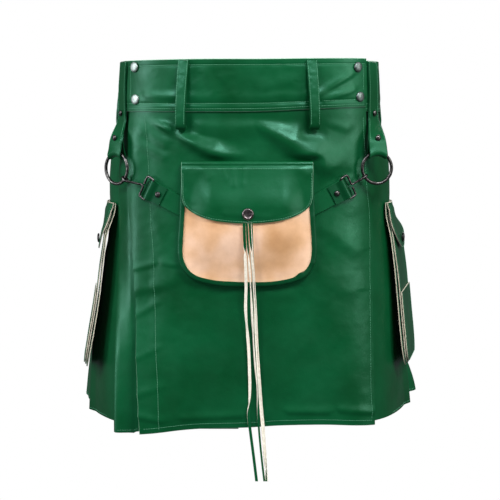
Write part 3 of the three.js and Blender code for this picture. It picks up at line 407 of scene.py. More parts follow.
def green_leather(name="green_grain", shade=1.0):
    """Smooth full-grain leather: fine pebbles and creases, cloudy dye, and a soft gloss that varies. A shade
    below 1 gives a darker copy, which is painted shade.
    """
    material, tree, principled, where = shader(name, 0.4, specular=0.54)
    principled.inputs["Specular Tint"].default_value = GREEN_SHEEN
    stops = [(position, tuple(c * shade for c in colour)) for position, colour in GREEN_DYE]
    dye = ramp(tree, noise_at(tree, where, 9, 4, 0.55), *stops)
    pores = number_range(tree, cells_at(tree, where, PORES_PER_METRE), 0.02, 0.25, 0.82, 1)
    join(tree, multiply(tree, dye, pores), principled, "Base Color")
    gloss = number_range(tree, noise_at(tree, where, 34, 3), 0.3, 0.7, 0.32, 0.46)
    join(tree, gloss, principled, "Roughness")
    bumps(tree, principled,
          (noise_at(tree, where, 60, 3), 0.35, 0.0007),
          (noise_at(tree, where, 190, 4, 0.6), 0.3, 0.0003),
          (cells_at(tree, where, PORES_PER_METRE), 0.28, 0.0001))
    return material


def tan_leather():
    """Undyed leather, blotched from honey to pink, with a dull bloom."""
    material, tree, principled, where = shader("tan_grain", 0.55, specular=0.3, sheen=0.1)
    clouds = noise_at(tree, where, 16, 2, 0.45)
    dye = ramp(tree, clouds, (0.34, (0.6, 0.33, 0.16)), (0.5, (0.74, 0.45, 0.27)), (0.66, (0.86, 0.58, 0.42)))
    mottle = ramp(tree, noise_at(tree, where, 90, 4, 0.6), (0.3, (0.9, 0.88, 0.86)), (0.7, (1, 1, 1)))
    join(tree, multiply(tree, dye, mottle), principled, "Base Color")
    bumps(tree, principled,
          (noise_at(tree, where, 120, 4, 0.6), 0.25, 0.0004),
          (cells_at(tree, where, 820), 0.2, 0.0001))
    return material


def plain_leather(name, dark, light, roughness, scale=240, depth=0.0003, strength=0.4):
    """A matt fibrous side or a cut edge."""
    material, tree, principled, where = shader(name, roughness, specular=0.25, sheen=0.08)
    fibre = noise_at(tree, where, scale, 5, 0.65)
    join(tree, ramp(tree, fibre, (0.3, dark), (0.7, light)), principled, "Base Color")
    bumps(tree, principled, (fibre, strength, depth))
    return material


def worn_metal(name, dark, light, roughness):
    """Antiqued metal: darker where it was stained, brighter where it rubs, with fine scratches."""
    material, tree, principled, where = shader(name, roughness, metallic=1.0)
    stain = noise_at(tree, where, 260, 4, 0.6)
    join(tree, ramp(tree, stain, (0.35, dark), (0.68, light)), principled, "Base Color")
    rough = number_range(tree, noise_at(tree, where, 420, 3), 0.3, 0.7, roughness - 0.08, roughness + 0.12)
    join(tree, rough, principled, "Roughness")
    bumps(tree, principled, (noise_at(tree, where, 900, 4, 0.7), 0.25, 0.0001))
    return material


GREEN = green_leather()
# A darker copy of the green, 0.72 as bright: painted shade on the inner faces and cut edges of straps and
# loops, and on the binding's inner face
GREEN_PAINTED_SHADE = green_leather("green_grain_painted_shade", 0.72)
FLESH = plain_leather("flesh_side", (0.05, 0.085, 0.05), (0.11, 0.16, 0.1), 0.85)
EDGE = plain_leather("dyed_edge", (0.16, 0.42, 0.26), (0.32, 0.62, 0.45), 0.6)
RAW_EDGE = plain_leather("raw_edge", (0.36, 0.33, 0.25), (0.6, 0.56, 0.46), 0.7)
CREAM = plain_leather("cream_side", (0.74, 0.68, 0.56), (0.95, 0.92, 0.83), 0.7)
TAN = tan_leather()
THREAD = plain_leather("green_thread", (0.035, 0.18, 0.1), (0.09, 0.32, 0.19), 0.5, 900, 0.0002, 0.6)
GUNMETAL = worn_metal("gunmetal_worn", (0.03, 0.03, 0.035), (0.16, 0.155, 0.15), 0.34)
# One stained metal in two copies: the lighter one for the left snaps is painted light, the darker one for the
# right snaps is painted shade
SNAP_PAINTED_LIGHT = worn_metal("snap_stained_painted_light", (0.32, 0.4, 0.38), (0.6, 0.68, 0.66), 0.52)
SNAP_PAINTED_SHADE = worn_metal("snap_stained_painted_shade", (0.1, 0.13, 0.13), (0.26, 0.31, 0.31), 0.46)
STUD_METAL = worn_metal("stud_worn", (0.07, 0.045, 0.05), (0.3, 0.27, 0.28), 0.36)

# Materials of a piece's outer face, inner face and cut edge
SKIRT_SIDES = (GREEN, FLESH, EDGE)
# Straps and loops take the darker copy of the green on their inner faces and cut edges: painted shade
STRAP_SIDES = (GREEN, GREEN_PAINTED_SHADE, GREEN_PAINTED_SHADE)


# Meshes

def solid(name, points, faces, materials, slots=None, sharp=40):
    mesh = bpy.data.meshes.new(name)
    mesh.from_pydata((np.asarray(points) * MM).tolist(), [], [list(face) for face in faces])
    for material in materials:
        mesh.materials.append(material)
    if slots is not None:
        mesh.polygons.foreach_set("material_index", np.asarray(slots, np.int32))
    mesh.polygons.foreach_set("use_smooth", np.ones(len(mesh.polygons), bool))
    mesh.set_sharp_from_angle(angle=math.radians(sharp))
    mesh.update()
    obj = bpy.data.objects.new(name, mesh)
    bpy.context.scene.collection.objects.link(obj)
    return obj


def wall_normals(grid):
    return unit(np.cross(np.gradient(grid, axis=0), np.gradient(grid, axis=1)))


def wall(name, grid, thickness, materials, bevel):
    """A closed skin about a grid of middle points. Its outer face is smaller, so the cut edge slants."""
    half = wall_normals(grid) * thickness / 2
    outer, inner = grid + half, grid - half

    def pull(edge, towards):
        run = towards - edge
        return edge + unit(run) * np.minimum(bevel, np.linalg.norm(run, axis=-1, keepdims=True) * 0.45)

    inset = outer.copy()
    inset[0], inset[-1] = pull(outer[0], outer[1]), pull(outer[-1], outer[-2])
    inset[:, 0], inset[:, -1] = pull(inset[:, 0], inset[:, 1]), pull(inset[:, -1], inset[:, -2])
    front = np.arange(grid[..., 0].size).reshape(grid.shape[:2])
    back = front + front.size
    corners = (
        (front[:-1, :-1], front[1:, :-1], front[1:, 1:], front[:-1, 1:]),
        (back[:-1, :-1], back[:-1, 1:], back[1:, 1:], back[1:, :-1]),
        (front[0, :-1], front[0, 1:], back[0, 1:], back[0, :-1]),
        (front[-1, 1:], front[-1, :-1], back[-1, :-1], back[-1, 1:]),
        (front[1:, 0], front[:-1, 0], back[:-1, 0], back[1:, 0]),
        (front[:-1, -1], front[1:, -1], back[1:, -1], back[:-1, -1]),
    )
    faces = [np.stack([corner.ravel() for corner in four], axis=1) for four in corners]
    slots = np.concatenate([np.full(len(side), min(n, 2)) for n, side in enumerate(faces)])
    points = np.concatenate([inset.reshape(-1, 3), inner.reshape(-1, 3)])
    return solid(name, points, np.concatenate(faces), materials, slots)


def ride(obj, nodes=()):
    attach(obj, "root")
    if nodes:
        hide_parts(*nodes)
    return obj


def leather_sheet(part, grid, thickness=LEATHER, materials=SKIRT_SIDES,
                  bevel=EDGE_BEVEL):
    """A cloth piece in place of its solid."""
    obj = ride(wall(f"{part}_leather", grid, thickness, materials, bevel), (part,))


def circle(centre, across, up, wide, high, sides):
    turn = np.linspace(0, 2 * math.pi, sides, endpoint=False)[:, None]
    return centre + wide * np.cos(turn) * across + high * np.sin(turn) * up


def ring_faces(rings, sides, closed=False):
    """Faces between rings of points, with both ends capped unless the last ring meets the first."""
    count = rings * sides
    faces = []
    for row in range(0, count if closed else count - sides, sides):
        for k in range(sides):
            a, b = row + k, row + (k + 1) % sides
            faces.append((a, b, (b + sides) % count, (a + sides) % count))
    if not closed:
        faces += [tuple(reversed(range(sides))), tuple(range(count - sides, count))]
    return faces


def lathe(part, centre, normal, profile, metal, sides=28, slot_name="gunmetal"):
    """A round cap about an axis through a surface point. The profile holds radius and height."""
    axis = Vector(normal).normalized()
    turn = Vector((0, 0, 1)).rotation_difference(axis)
    across, up, axis = (np.array(turn @ Vector(v)) for v in ((1, 0, 0), (0, 1, 0), (0, 0, 1)))
    points = [circle(centre + axis * height, across, up, radius, radius, sides) for radius, height in profile]
    faces = ring_faces(len(profile), sides)
    ride(solid(f"{part}_cap", np.concatenate(points), faces, (metal,), sharp=60), (part,))


def tube(name, path, radius, sides, part, closed=False):
    """A round wire along a line of points."""
    tangent = unit(np.roll(path, -1, 0) - np.roll(path, 1, 0) if closed else np.gradient(path, axis=0))
    side = np.cross(tangent[0], (0.3, 0.2, 0.9))
    rings = []
    for centre, along in zip(path, tangent):
        side = unit(side - along * side.dot(along))
        rings.append(circle(centre, side, np.cross(along, side), radius, radius, sides))
    faces = ring_faces(len(path), sides, closed)
    ride(solid(name, np.concatenate(rings), faces, (GUNMETAL,), sharp=60), (part,))


THREAD_LIFT = 0.25
STITCH_PITCH = 3.6
STITCH_LONG = 2.7
STITCH_WIDE = 0.42
STITCH_SIDES = 6
STITCH_SHAPE = table("share girth", (-0.5, 0.45), (-0.36, 1), (0.36, 1), (0.5, 0.45))


def stitches(name, lines):
    """Threads along seams. Each line is its points and the outward direction at each of them."""
    points, faces = [], []
    one = np.array(list(zip(STITCH_SHAPE["share"], STITCH_SHAPE["girth"])))
    pattern = ring_faces(len(one), STITCH_SIDES)
    for path, normal in lines:
        run = lengths(path)
        at = np.arange(STITCH_PITCH / 2, run[-1], STITCH_PITCH)

        def read(values, where):
            return np.stack([np.interp(where, run, values[:, k]) for k in range(3)], 1)

        for before, middle, after, up in zip(read(path, at - 0.5), read(path, at), read(path, at + 0.5),
                                             read(normal, at)):
            along = unit(after - before)
            across = unit(np.cross(up, along))
            up = np.cross(along, across)
            start = len(points) * STITCH_SIDES
            for share, girth in one:
                centre, wide = middle + along * share * STITCH_LONG, girth * STITCH_WIDE
                points.append(circle(centre, across, up, wide, 0.8 * wide, STITCH_SIDES))
            faces += [tuple(start + k for k in face) for face in pattern]
    ride(solid(name, np.concatenate(points), faces, (THREAD,), sharp=80))


# Waistband

BAND_ROWS = 44
BAND_END_X = 150
SIDE_SEAM = 106
MM_PER_DEGREE = 3.1
# Lines of stitching, as shares of the front band's width from its top, and as heights on the other bands
FRONT_BAND_STITCHES = (0.115, 0.845, 0.945)
BAND_STITCHES = (28.5, -26, -33.5)
BAND_PUCKERS = table(
    "from_x from_z to_x to_z above below height",
    (98, -14, 146, 16, 7, 4, 1.9),
    (108, -22, 150, -6, 6, 3.5, 1.5),
    (-60, 18, -48, -10, 8, 5, 1),
    (-34, 10, -20, -12, 9, 5.5, 0.9),
    (20, -4, 60, 6, 10, 6, 0.9),
    (-140, -14, -104, -17, 7, 4, 1.2),
)


def band_puff(z, phase):
    """The band's padding: a soft roll above the lower seam, grooves at both seams, and slow waves."""
    roll = 1.1 * np.exp(-((z + 17) / 6.5) ** 2) + 0.5 * np.exp(-((z + 31) / 3) ** 2)
    grooves = 0.7 * np.exp(-((z + 26) / 1.6) ** 2) + 0.6 * np.exp(-((z - 28.5) / 1.6) ** 2)
    waves = (0.5 * soft_noise(phase, z, 34, 5) + 0.3 * soft_noise(phase + z * 0.4, z, 14, 6)
             + 0.12 * soft_noise(phase - z * 0.3, z, 7, 7))
    return roll - grooves + waves * (1 - smooth(24, 36, np.abs(z)))


def band(part, from_angle, to_angle):
    columns = int(abs(to_angle - from_angle) * 2.9 / FINE)
    z, angle = np.broadcast_arrays(np.linspace(BAND_HALF, -BAND_HALF, BAND_ROWS)[:, None],
                                   np.linspace(from_angle, to_angle, columns))
    grid = ring_point(angle, z, BAND_LAYER + 0.5 * band_puff(z, angle * MM_PER_DEGREE))
    leather_sheet(part, grid, BAND_WALL)


def front_band(x, share):
    """Heights on the front band, a share of its width down from its top, and how far it is raised there."""
    z = mix(curve(FRONT_BAND, "x", "top", x), curve(FRONT_BAND, "x", "bottom", x), share)
    return z, band_puff(mix(BAND_HALF, -BAND_HALF, share), x) + ridges(x, z, BAND_PUCKERS)


def build_waistband():
    ends = [float(angle_at_x(x, 0)) for x in (-BAND_END_X, UNDER_APRON_EDGE_X, BAND_END_X)]
    seam = float(angle_along(SIDE_SEAM, 0.0, SEAM))
    band("waistband_under", ends[0] + 0.1, ends[1])
    band("waistband_left", -SIDE_SEAM, ends[0] - 0.1)
    band("waistband_right", ends[2], SIDE_SEAM)
    band("waistband_back", seam, 360 - seam)

    x = np.linspace(-FRONT_BAND_END, FRONT_BAND_END, 180)[None, :]
    z, rise = front_band(x, np.linspace(0, 1, BAND_ROWS)[:, None])
    grid = front_point(x, z, FRONT_BAND_LAYER + rise)
    leather_sheet("waistband_front", grid, BAND_WALL)

    lines = []
    for share in FRONT_BAND_STITCHES:
        x = np.arange(-FRONT_BAND_END + 2, FRONT_BAND_END - 2, 2.0)
        z, rise = front_band(x, share)
        lines.append(front_line(x, z, FRONT_BAND_FACE + rise + 0.1))
    for end in (-FRONT_BAND_END + 4.5, FRONT_BAND_END - 4.5):
        z = np.arange(30, -24, -2.0)
        lines.append(front_line(end, z, FRONT_BAND_FACE + band_puff(z, end) + 0.1))
    angle = np.arange(52, 308, 0.8)
    turned = np.where(angle > 180, angle - 360, angle)
    for z in BAND_STITCHES:
        face = BAND_FACE + 0.5 * band_puff(z, angle * MM_PER_DEGREE) + 0.1
        lines.append((ring_point(turned, z, face), ring_normal(turned, z)))
    stitches("stitches_band", lines)


# Aprons

APRON_WAVES = table(
    "height slant cell seed", (0.45, 0, 62, 11), (0.4, 0.4, 27, 12), (0.24, -0.5, 13, 13), (0.1, 0.3, 6, 14),
)


def apron_offset(x, z):
    """How far the middle of the apron's leather stands off the ring surface."""
    over_pleat = 4.6 * smooth(-138, -164, x)
    left_corner = 15 * smooth(-70, -150, x) * smooth(-300, -505, z)
    right_corner = 9 * smooth(110, 180, x) * smooth(-260, -500, z)
    free = smooth(-38, -60, z)
    under_pouch = smooth(108, 94, np.abs(x)) * smooth(-98, -110, z) * smooth(-310, -290, z)
    loose = 1 - np.minimum(1, 1.6 * ridges(x, z, STRAPS_OVER_APRON))
    for foot_x in LOOP_FEET_X:
        loose = loose * (1 - 0.75 * smooth(24, 9, np.abs(x - foot_x)) * smooth(-84, -64, z))
    folds = np.maximum(crest(x, z, LEFT_CREST) + crest(x, z, RIGHT_CREST), ridges(x, z, APRON_FOLDS))
    folds = folds * loose * (1 - 0.8 * under_pouch)
    waves = 1 + sum(height * soft_noise(x + slant * z, z, cell, seed)
                    for height, slant, cell, seed in zip(*APRON_WAVES.values()))
    low = APRON_LAYER + over_pleat + left_corner + right_corner + free * (folds + waves * mix(0.25, 1, loose))
    return mix(APRON_TOP_LAYER, low, smooth(-38, -70, z))


def apron_hem_z(x):
    return curve(APRON_HEM, "x", "z", x)


HEM_STITCH_RISE = 7.5
APRON_STITCH = table(
    "z x", (-48, -146), (-61, -144), (-93, -142.5), (-174, -139.3), (-206, -137.6), (-242, -135.1),
    (-310, -132.8), (-376, -130.9), (-439, -127), (-505, -124.7),
)


def build_aprons():
    v, u = np.linspace(0, 1, 205)[:, None], np.linspace(0, 1, 146)[None, :]
    level = mix(-20, -505, v)
    x = mix(curve(APRON_SIDES, "z", "left", level), curve(APRON_SIDES, "z", "right", level), u)
    z = mix(curve(FRONT_BAND, "x", "bottom", x) + TUCK, apron_hem_z(x), v)
    leather_sheet("front_apron", front_point(x, z, apron_offset(x, z)))

    x = np.linspace(FRONT_PLEAT_START_X + SEAM, UNDER_APRON_EDGE_X, 46)[None, :]
    z = np.linspace(SKIRT_TOP, UNDER_APRON_HEM, 90)[:, None]
    leather_sheet("under_apron", front_point(x, z, SKIRT_LAYER))

    left_z, right_z = np.arange(-44, -503, -2.0), np.arange(-46, -492, -2.0)
    hem_x = np.arange(-144, 178, 2.0)
    lines = (
        (curve(APRON_STITCH, "z", "x", left_z), left_z),
        (hem_x, apron_hem_z(hem_x) + HEM_STITCH_RISE),
        (curve(APRON_SIDES, "z", "right", right_z) - 5, right_z),
    )
    face = LEATHER / 2 + THREAD_LIFT
    stitches("stitches_apron", [front_line(x, z, apron_offset(x, z) + face) for x, z in lines])


# Pleated panels, each ending at a fold line and turned back beneath itself

def pleat_sink(z):
    return PLEAT_SINK * (1 - smooth(-40, -85, z))


def pocket_gap_fill(angle, z):
    """How much further the skirt swells behind the left hip pocket, so that no light shows between them."""
    beside = smooth(-66, -76, angle) * smooth(-106, -96, angle)
    return GAP_FILL * beside * smooth(*GAP_TOP, z) * smooth(*GAP_FOOT, z)


def pleat_line(start, last_fold, fold, side, lifted, z):
    """Angles and offsets of a panel's section at each height, as in the part."""
    step = LEATHER + LAYER_GAP
    return_end = angle_along(fold, z, -side * PLEAT_RETURN)
    outer_top = SKIRT_LAYER + 2 * step + 0 * z
    outer_fold = outer_top + lifted + 0.5
    return_fold = SKIRT_LAYER + step + 0.7 * lifted
    radius = (outer_fold - return_fold) / 2
    fold_start = angle_along(fold, z, -side * radius)

    def past(share):
        return angle_along(fold_start, z, side * radius * share)

    line = [
        (start, SKIRT_LAYER),
        (last_fold, SKIRT_LAYER),
        (mix(last_fold, return_end, 0.4), mix(SKIRT_LAYER, outer_top, 0.25)),
        (mix(last_fold, return_end, 0.75), mix(SKIRT_LAYER, outer_top, 0.75)),
        (angle_along(return_end, z, -side * 2), outer_top),
        (mix(return_end, fold_start, 0.5), mix(outer_top, outer_fold, 0.5)),
        (fold_start, outer_fold),
        (past(0.75), return_fold + radius * 1.66),
        (past(1), return_fold + radius),
        (past(0.75), return_fold + radius * 0.34),
        (fold_start, return_fold),
        (mix(fold_start, return_end, 0.5), mix(return_fold, SKIRT_LAYER + step, 0.5)),
        (return_end, SKIRT_LAYER + step),
    ]
    angles = np.stack([np.broadcast_to(a, z.shape) for a, _ in line])
    offsets = np.stack([np.broadcast_to(o, z.shape) for _, o in line]) - pleat_sink(z)
    return angles, offsets


OUTER_POINTS = 6


PLEAT_ROWS = 118


def pleat_grid(side, lift_at, start_at, last_at, fold_at, seed, lowered):
    v = np.linspace(0, 1, PLEAT_ROWS)
    z = mix(SKIRT_TOP, HEM, v)
    fold = fold_at(z)
    angles, offsets = pleat_line(start_at(z), last_at(z), fold, side, lift_at(z), z)
    middle = PLEAT_ROWS // 2
    per_degree = np.linalg.norm(ring_base(fold + 0.5, z) - ring_base(fold - 0.5, z), axis=-1)[middle]
    knots = lengths(np.stack([angles[:, middle] * per_degree, offsets[:, middle]], axis=1))
    at = stations(knots, COARSE)
    angle, offset = hermite(knots, angles, at).T, hermite(knots, offsets, at).T
    point = np.interp(at, knots, np.arange(len(knots)))
    z = np.broadcast_to(z[:, None], angle.shape)
    waves = 0.7 + 0.8 * soft_noise(at, z * 0.5, 46, seed) + 0.35 * soft_noise(at + z * 0.3, z, 20, seed + 1)
    shown = smooth(1, 2, point) * (1 - smooth(OUTER_POINTS - 0.6, OUTER_POINTS, point)) * smooth(-60, -110, z)
    behind_pocket = smooth(52, 60, np.abs(angle)) * smooth(124, 116, np.abs(angle)) * smooth(-160, -174, z)
    offset = offset + shown * waves * (1 - behind_pocket) + pocket_gap_fill(angle, z)
    sunk = lowered * (0.7 + 0.3 * smooth(0, 0.5, point / (len(knots) - 1))) * smooth(0.5, 1, v)[:, None]
    grid = ring_point(angle, z - sunk, offset)
    return (grid if side > 0 else grid[:, ::-1]), knots, at


def add_pleat(part, side, lift_at, start_at, last_at, fold_at, seed, lowered=0):
    """Adds one panel and gives the seam line above its hem."""
    grid, knots, at = pleat_grid(side, lift_at, start_at, last_at, fold_at, seed, lowered)
    leather_sheet(part, grid)
    columns = np.arange(*np.searchsorted(at, knots[[2, OUTER_POINTS]]))
    if side < 0:
        columns = grid.shape[1] - 1 - columns[::-1]
    normal = wall_normals(grid)
    fall = lengths(grid[:, columns[len(columns) // 2]])
    row = int(np.searchsorted(fall, fall[-1] - HEM_STITCH_RISE))
    return grid[row, columns] + normal[row, columns] * (LEATHER / 2 + THREAD_LIFT), normal[row, columns]


def fold_angle(side, waist, hem):
    return lambda z: side * mix(waist, hem, smooth(-40, HEM, z))


def opening(lift, below):
    return lambda z: lift * smooth(below, HEM, z)


def seam_before(fold, side):
    return lambda z: angle_along(fold(z), z, -side * PLEAT_RETURN)


def front_edge(rows, name, past=0):
    return lambda z: angle_at_x(curve(rows, "z", name, z) + past, z)


def build_pleats():
    front_fold = front_edge(FRONT_PLEAT, "fold")
    last = {side: fold_angle(side, *fold) for side, fold in SIDE_PANEL_FOLD.items()}
    side_lift = opening(6, PANELS_OPEN_BELOW)
    lines = [
        add_pleat("panel_left_front", -1, opening(15, PANELS_OPEN_BELOW),
                  lambda z: angle_at_x(FRONT_PLEAT_START_X, z), front_edge(FRONT_PLEAT, "rise"), front_fold,
                  seed=21, lowered=14),
        add_pleat("panel_left_side", -1, side_lift,
                  seam_before(front_fold, -1), front_fold, last[-1], seed=23, lowered=4),
        add_pleat("panel_right_side", 1, side_lift,
                  lambda z: angle_at_x(RIGHT_PANEL_START_X, z), front_edge(APRON_SIDES, "right", 2.5), last[1],
                  seed=25),
    ]
    for i, (part, side, waist, hem, lift, below) in enumerate(PLEATS):
        fold = fold_angle(side, waist, hem)
        lines.append(add_pleat(part, side, opening(lift, below),
                               seam_before(last[side], side), last[side], fold, 31 + 2 * i))
        last[side] = fold
    z = np.linspace(SKIRT_TOP, HEM, PLEAT_ROWS)
    start = angle_along(last[1](z), z, -PLEAT_RETURN)[:, None]
    end = angle_along(last[-1](z), z, PLEAT_RETURN)[:, None] + 360
    z = z[:, None]
    grid = ring_point(mix(start, end, np.linspace(0, 1, 26)[None, :]), z, SKIRT_LAYER - pleat_sink(z))
    leather_sheet("pleat_centre_back", grid)
    stitches("stitches_hem", lines)


# Belt loops

BELT_LOOPS = (
    ("belt_loop_front_left", -89, -92.5, True),
    ("belt_loop_front_right", 90, 93.5, True),
    ("belt_loop_side_left", -111, -111, False),
    ("belt_loop_side_right", 111, 111, False),
    ("belt_loop_back_left", -154, -154, False),
    ("belt_loop_back_right", 154, 154, False),
)
BELT_LOOP_WIDTH = 17
LOOP_TOP = 36
LOOP_FALL = 98
STRAP_STEP = 1.8


def belt_loop_path(band_face, skirt_face):
    """Heights and offsets of a loop from its top, over the band and round its foot."""
    face = max(band_face, skirt_face)
    foot = face + 7.4
    turned = skirt_face + 1.8
    return np.array([
        (LOOP_TOP, band_face + 1.5), (25, face + 3.4), (9, face + 6.2), (-14, face + 9.2), (-36, face + 10.6),
        (-50, face + 9.8), (-59, foot), (-62.5, (foot + turned) / 2), (-59.5, turned), (-50, turned - 0.2),
        (-42, turned - 0.3),
    ])


def strip(middle, across, normal, widths, rise):
    """A grid along a line: widths to each side of it, raised along its normal."""
    return middle[:, None] + across[:, None] * widths[..., None] + normal[:, None] * rise[..., None]


def edge_stitches(grid, rows, columns, wall):
    """Lines of stitching along some columns of a strip, on the side that a wall's sign gives."""
    out = wall_normals(grid)[rows] * np.sign(wall)
    return [(grid[rows, c] + out[:, c] * (abs(wall) / 2 + 0.2), out[:, c]) for c in columns]


def build_belt_loops():
    lines = []
    for part, top, foot, front in BELT_LOOPS:
        faces = (FRONT_BAND_FACE, 6.2) if front else (BAND_FACE, 5.8)
        z, offset = resample(belt_loop_path(*faces), STRAP_STEP).T
        fall = (LOOP_TOP - z) / LOOP_FALL
        angle = angle_at_x(mix(top, foot, fall), z) if front else np.full(z.shape, float(top))
        across = np.linspace(-1, 1, 9)
        widths = mix(BELT_LOOP_WIDTH, BELT_LOOP_WIDTH - 1.5, fall)[:, None] / 2 * across
        rise = 0.5 * (1 - across ** 2) + 0.22 * soft_noise(across * 9, z[:, None], 4.5, 91)
        grid = strip(ring_point(angle, z, offset), ring_tangent(angle, 0 * z), ring_normal(angle, z),
                     widths, rise)
        leather_sheet(part, grid, LOOP_WALL, STRAP_SIDES)
        shown = int(np.searchsorted(-z[:np.argmin(z)], 57))
        lines += edge_stitches(grid, slice(shown), (1, 7), LOOP_WALL)
    stitches("stitches_loops", lines)


# Caps of snaps, rivets and studs: radius and height up from the cloth

SNAP_PROFILE = ((6.4, 0), (7.2, 0.5), (7.4, 1.3), (7.1, 2.1), (6.2, 2.8), (4.6, 3.3), (2.4, 3.6), (0.5, 3.7))
RIVET_PROFILE = ((4.3, 0), (4.4, 0.7), (4.0, 1.5), (3.0, 2.3), (1.6, 2.8), (0.4, 2.9))
STUD_PROFILE = ((7.4, 0), (8.3, 0.8), (8.5, 1.8), (8.1, 2.9), (7.3, 3.6), (6.5, 3.9), (5.9, 3.5), (5.2, 3.0),
                (3.2, 2.8), (0.5, 2.9))
SNAPS = (
    ("snap_left_top", -157.4, 27), ("snap_left_bottom", -156.5, -20),
    ("snap_right_top", 155, 27), ("snap_right_bottom", 158.5, -16),
)


def build_snaps():
    for part, x, z in SNAPS:
        angle = angle_at_x(x, z)
        # Left snaps take the lighter copy and right ones the darker: painted light and painted shade
        lathe(part, ring_point(angle, z, FRONT_BAND_FACE + 0.4), ring_normal(angle, z), SNAP_PROFILE,
              SNAP_PAINTED_LIGHT if x < 0 else SNAP_PAINTED_SHADE, slot_name="snap_metal")


# Hip straps with their rings and hooks

HIPS = (
    dict(side="left", sign=-1, strap_x=180, strap_turn=47, ring=(-192, -82, -121), ring_turn=42,
         hook_angle=40, clasp=(-142, -148.5)),
    dict(side="right", sign=1, strap_x=182, strap_turn=21, ring=(190, -97, -120), ring_turn=14,
         hook_angle=33, clasp=(143, -147)),
)
HIP_STRAP_WIDTH = 28
STRAP_TURN_RADIUS = 5.8
RING_RADIUS = 22.6
RING_WIRE = 1.9
RING_LOOK = 2.4
HOOK_WIRE = 1.4
HOOK_LOOK = 1.7
CLASP_LONG = 16.6
CLASP_SHORT = 6
CLASP_OFFSET = 9.4
STRAP_SLOPE = math.radians(27.5)
POUCH_STRAP_WIDTH = 28.5
POUCH_STRAP_LAYER = 6.2
POUCH_STRAP_REACH = 68


def facing(degrees, sign):
    turn = math.radians(degrees) * sign
    return np.array((math.sin(turn), -math.cos(turn), 0))


def width_of(normal):
    return np.stack([-normal[..., 1], normal[..., 0], 0 * normal[..., 0]], axis=-1)


def strap_frame(hip, z):
    """Middle and outward direction of a hip strap at each height: flat on the band, then towards its ring."""
    held = np.maximum(z, -45)
    angle = angle_at_x(hip["sign"] * hip["strap_x"], np.minimum(held, 0))
    t = smooth(-45, -83, z)[:, None]
    middle = mix(ring_point(angle, held, BAND_FACE + 0.3), np.array(hip["ring"]), t)
    middle[:, 2] = z
    return middle, unit(mix(ring_normal(angle, held), facing(hip["strap_turn"], hip["sign"]), t))


def hip_strap_path(turn_z):
    """Heights and offsets of a hip strap, down its front and round its ring."""
    half, r = STRAP_WALL / 2 + 0.15, STRAP_TURN_RADIUS
    turn = np.radians((25, 0, -30, -60, -90, -120, -150, 180, 155))
    return np.array([*((z, half + 0.15) for z in (36, 10, -15, -38, -52, -66, -78)), (turn_z + 8, r * 0.62),
                     *zip(turn_z + r * np.sin(turn), r * np.cos(turn)),
                     (turn_z + 8, -r * 0.62), (-79, -half), (-71, -half)])


def build_hip_strap(hip):
    turn_z = hip["ring"][2] + RING_RADIUS - RING_WIRE - 1.8 + STRAP_TURN_RADIUS - STRAP_WALL / 2
    z, offset = resample(hip_strap_path(turn_z), STRAP_STEP).T
    middle, normal = strap_frame(hip, z)
    widths = np.linspace(-0.5, 0.5, 13)[None, :] * HIP_STRAP_WIDTH
    grid = strip(middle, width_of(normal), normal, widths, offset[:, None])
    grid[..., 2] -= (RING_RADIUS - np.sqrt(RING_RADIUS ** 2 - widths ** 2)) * smooth(-80, -90, z)[:, None]
    leather_sheet(f"hip_strap_{hip['side']}", grid, STRAP_WALL, STRAP_SIDES)
    for label, rivet_z, off in (("top", -40.0, 1.6), ("bottom", -76.0, 2.6)):
        middle, normal = strap_frame(hip, np.array([rivet_z]))
        lathe(f"hip_rivet_{hip['side']}_{label}", middle[0] + normal[0] * (STRAP_WALL + off), normal[0],
              RIVET_PROFILE, GUNMETAL, 20)
    return edge_stitches(grid, slice(int(np.argmax(z < -84))), (1, 11), STRAP_WALL)


def clasp_frame(hip):
    x, z = hip["clasp"]
    angle = angle_at_x(x, z)
    out = ring_tangent(angle, z) * hip["sign"] * math.cos(STRAP_SLOPE)
    out[2] = math.sin(STRAP_SLOPE)
    normal = ring_normal(angle, z)
    return ring_point(angle, z, CLASP_OFFSET), out, unit(np.cross(normal, out)), normal


def centripetal(points, per_span=6):
    """A Catmull-Rom curve through points, by centripetal knots."""
    points = [2 * points[0] - points[1], *points, 2 * points[-1] - points[-2]]
    made = []
    for p0, p1, p2, p3 in zip(points, points[1:], points[2:], points[3:]):
        d0, d1, d2 = (max(np.linalg.norm(b - a), 1e-6) ** 0.5 for a, b in ((p0, p1), (p1, p2), (p2, p3)))
        slope1 = ((p1 - p0) / d0 - (p2 - p0) / (d0 + d1) + (p2 - p1) / d1) * d1
        slope2 = ((p2 - p1) / d1 - (p3 - p1) / (d1 + d2) + (p3 - p2) / d2) * d1
        for t in np.linspace(0, 1, per_span, endpoint=False):
            made.append((2 * t ** 3 - 3 * t ** 2 + 1) * p1 + (t ** 3 - 2 * t ** 2 + t) * slope1
                        + (3 * t ** 2 - 2 * t ** 3) * p2 + (t ** 3 - t ** 2) * slope2)
    return np.array([*made, points[-2]])


